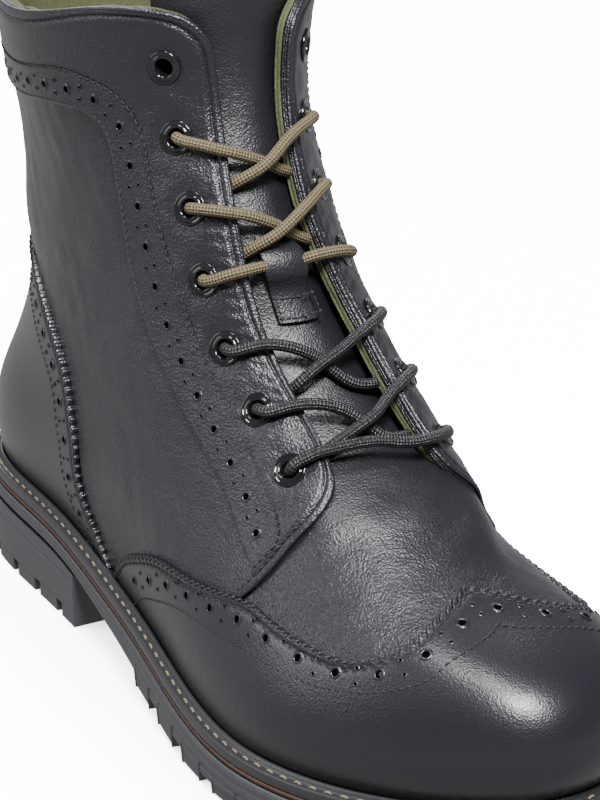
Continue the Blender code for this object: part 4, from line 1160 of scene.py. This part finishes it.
def add_lugs():
    """Side lugs round the forefoot, a little tapered, and bars between them."""
    points = []
    faces = []
    for side in (1, -1):
        turns, length, _ = outline_length(side)
        for number in range(SIDE_LUGS):
            start = LUG_GAP / 2 + number * (LUG_LENGTH + LUG_GAP)
            at = start + LUG_LENGTH * np.linspace(0, 1, 5)
            turn = np.interp(at, length, turns * side) * side
            high = strip_bottom(turn) + 0.0025
            low = np.maximum(strip_bottom(turn) - LUG_DEPTH - 0.0008, 0.0004)
            ends = np.array((0.4, 0, 0, 0, -0.4)) * 0.001
            turn_low = np.interp(at + ends, length, turns * side) * side
            near_high = outline_point(turn, WELT_MARGIN + 0.0001, high)
            near_low = outline_point(turn_low, WELT_MARGIN - 0.0003, low)
            far_high = outline_point(turn, WELT_MARGIN - LUG_REACH, high)
            far_low = outline_point(turn_low, WELT_MARGIN - LUG_REACH + 0.0006, low)
            base = len(points)
            points += [*near_high, *near_low, *far_low, *far_high]
            for j in range(4):
                for row in range(4):
                    a, b = base + row * 5 + j, base + ((row + 1) % 4) * 5 + j
                    face = (a, b, b + 1, a + 1)
                    faces.append(face if side > 0 else face[::-1])
            for j, order in ((0, 1), (4, -1)):
                face = tuple(base + row * 5 + j for row in range(4))[::order * side]
                faces.append(face)
    for number, wide in enumerate((1.0, 1.0, 0.95, 0.85, 0.6)):
        x = LAST_LENGTH * (0.55 + 0.075 * number) - ORIGIN[0]
        share = (SECTIONS[0][2] - (x + ORIGIN[0]) / LAST_LENGTH) / (SECTIONS[0][2] - SECTIONS[0][0])
        low = float(strip_bottom(np.array(math.acos(1 - 2 * share))))
        floor = max(low - LUG_DEPTH, 0.0004)
        half = BALL_WIDTH * 0.21 * wide
        base = len(points)
        for z in (floor, low + 0.001):
            for dx, dy in ((-1, -1), (1, -1), (1, 1), (-1, 1)):
                points.append((x + dx * LUG_LENGTH / 2, 0.004 - ORIGIN[1] + dy * half, z))
        faces += [tuple(base + i for i in face) for face in
                  ((3, 2, 1, 0), (4, 5, 6, 7), (0, 1, 5, 4), (1, 2, 6, 5), (2, 3, 7, 6), (3, 0, 4, 7))]
    piece = add_piece("outsole_lugs", points, faces, "rubber", smooth=False)
    bevel = piece.modifiers.new("edges", "BEVEL")
    bevel.width = 0.00035
    bevel.segments = 2


def heel_outline(outset, notches):
    """Outline of the heel block from the breast round the back, with or without its notches cut in."""
    breast = SOLE_REACH[:, 0].min() + HEEL_LENGTH - ORIGIN[0]
    loop = []
    for side in (1, -1):
        turns, length, edge = outline_length(side)
        away = np.interp(-breast, -edge[:, 0], np.arange(len(edge)))
        start = np.interp(away, np.arange(len(edge)), length)
        marks = [start]
        depths = [0.0]
        middles = start + FIRST_NOTCH + np.arange(NOTCHES if notches else 0) * NOTCH_PITCH
        for middle in middles:
            low, high = middle - NOTCH_WIDTH / 2, middle + NOTCH_WIDTH / 2
            marks += [low, low + 1e-6, high, high + 1e-6]
            depths += [0.0, NOTCH_DEPTH, NOTCH_DEPTH, 0.0]
        fine = np.arange(start + 0.002, length[-1], 0.003)
        if notches:
            fine = fine[np.abs(fine[:, None] - middles).min(1) > NOTCH_WIDTH * 0.75]
        marks = np.concatenate([marks, fine])
        depths = np.concatenate([depths, 0 * fine])
        order = np.argsort(marks, kind="stable")
        turn = np.interp(marks[order], length, turns * side) * side
        points = outline_point(turn, outset - depths[order], 0.0)
        points[0, 0] = breast
        loop.append(points)
    return np.concatenate([loop[0], loop[1][::-1]])


def add_heel():
    """Heel block: plain above, notched along its lower edge."""
    half = slice(0, len(SOLE_TURNS) // 2 + 1)
    order = np.argsort(SOLE_X[half])
    layers = (
        ("heel_block", False, "heel", ((6.0, NOTCH_HEIGHT), (6.15, NOTCH_HEIGHT + MM), (6.2, 0.0150),
                                       (5.95, 0.0153), (6.1, 0.0157), (6.1, None))),
        ("heel_lift", True, None, ((5.8, 0.0), (6.0, 0.0003), (6.05, NOTCH_HEIGHT))),
    )
    for name, notches, node, rows in layers:
        rings = []
        for outset, height in rows:
            ring = heel_outline(outset * MM, notches)
            if height is None:
                under = strip_bottom(SOLE_TURNS)[half][order]
                height = np.interp(ring[:, 0], SOLE_X[half][order], under) - 0.0002
            ring[:, 2] = height
            rings.append(ring)
        count = len(rings[0])
        faces = [tuple(face) for face in grid_faces(len(rings), count, wrap=True)]
        faces.append(tuple(range(count)))
        faces.append(tuple(range(len(rings) * count - 1, (len(rings) - 1) * count - 1, -1)))
        add_piece(name, np.array(rings), faces, "rubber", node, smooth=False)


def dress_insole():
    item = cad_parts["insole"]
    item.material_slots[0].link = "OBJECT"
    item.material_slots[0].material = LOOKS["insole"]


# Stage

# Brightness of the white floor's glow, which is dimmed near the boot as a painted shadow, and of the even light
# round the boot
FLOOR_GLOW = 13.0
WORLD_GLOW = 0.20
LOW_GLOW = 0.75


def make_floor():
    """Wide pale floor under the boot; ambient occlusion dims its glow near the boot, a painted contact shadow.
    """
    bpy.ops.mesh.primitive_plane_add(size=12, location=(0, 0, 0))
    floor = bpy.context.object
    floor.name = "studio_floor"
    white, tree, shader = new_material("floor_white_painted_shadow", (0.90, 0.90, 0.91), 0.8)
    # Painted shadow: ambient occlusion dims the floor's glow round the boot
    near = add_node(tree, "ShaderNodeAmbientOcclusion", Distance=0.07, samples=16)
    glow = add_math(tree, "MULTIPLY", near.outputs["AO"], FLOOR_GLOW)
    shader.inputs["Emission Color"].default_value = (1, 1, 1, 1)
    tree.links.new(glow, shader.inputs["Emission Strength"])
    floor.data.materials.append(white)
    floor.visible_glossy = False
    floor.visible_diffuse = False


def area_light(name, place, size, power):
    """Soft rectangular light that looks at the boot."""
    data = bpy.data.lights.new(name, "AREA")
    data.shape = "RECTANGLE"
    data.size, data.size_y = size
    data.energy = power
    light = bpy.data.objects.new(name, data)
    light.location = place
    light.rotation_euler = (Vector((0, 0, 0.08)) - Vector(place)).to_track_quat("-Z", "Y").to_euler()
    bpy.context.scene.collection.objects.link(light)


def make_light():
    """White studio: an even world and soft boxes."""
    world = bpy.data.worlds.new("studio")
    bpy.context.scene.world = world
    world.use_nodes = True
    background = world.node_tree.nodes["Background"]
    background.inputs["Color"].default_value = (0.97, 0.975, 1.0, 1)
    tree = world.node_tree
    place = add_node(tree, "ShaderNodeTexCoord").outputs["Generated"]
    parts = add_node(tree, "ShaderNodeSeparateXYZ", {"Vector": place})
    ends = {"From Min": -0.15, "From Max": 0.25, "To Min": LOW_GLOW, "To Max": WORLD_GLOW}
    glow = add_node(tree, "ShaderNodeMapRange", {"Value": parts.outputs["Z"]},
                    interpolation_type="SMOOTHSTEP", **ends)
    tree.links.new(glow.outputs["Result"], background.inputs["Strength"])
    area_light("key_light", (0.75, -0.24, 1.28), (0.40, 0.40), 66)
    area_light("top_light", (0.00, -0.36, 1.60), (0.36, 0.30), 15)
    area_light("left_light", (-0.9, -1.5, 0.9), (0.8, 1.0), 15)
    area_light("back_light", (-1.4, 0.6, 0.9), (1.0, 1.0), 16)


def make_camera():
    """Camera at the photograph's angle."""
    data = bpy.data.cameras.new("camera")
    data.lens = CAMERA_LENS
    data.sensor_fit = "AUTO"
    data.sensor_width = SENSOR
    data.clip_start = 0.01
    camera = bpy.data.objects.new("camera", data)
    bpy.context.scene.collection.objects.link(camera)
    back = Vector((math.sin(CAMERA_AZIMUTH) * math.cos(CAMERA_ELEVATION),
                   -math.cos(CAMERA_AZIMUTH) * math.cos(CAMERA_ELEVATION), math.sin(CAMERA_ELEVATION)))
    turn = back.to_track_quat("Z", "Y").to_matrix().to_4x4()
    camera.matrix_world = (Matrix.Translation(CAMERA_TARGET + back * CAMERA_DISTANCE) @ turn
                           @ Matrix.Rotation(CAMERA_ROLL, 4, "Z"))
    bpy.context.scene.camera = camera


add_upper()
add_tongue()
facing_front, facing_seam = add_eyestay()
add_lining()
add_broguing(facing_front, facing_seam)
add_wing_and_counter()
add_eyelets()
add_eyelet_painted_shade()
add_laces()
add_loop()
add_welt()
add_outsole()
add_heel()
dress_insole()
make_floor()
make_light()
make_camera()
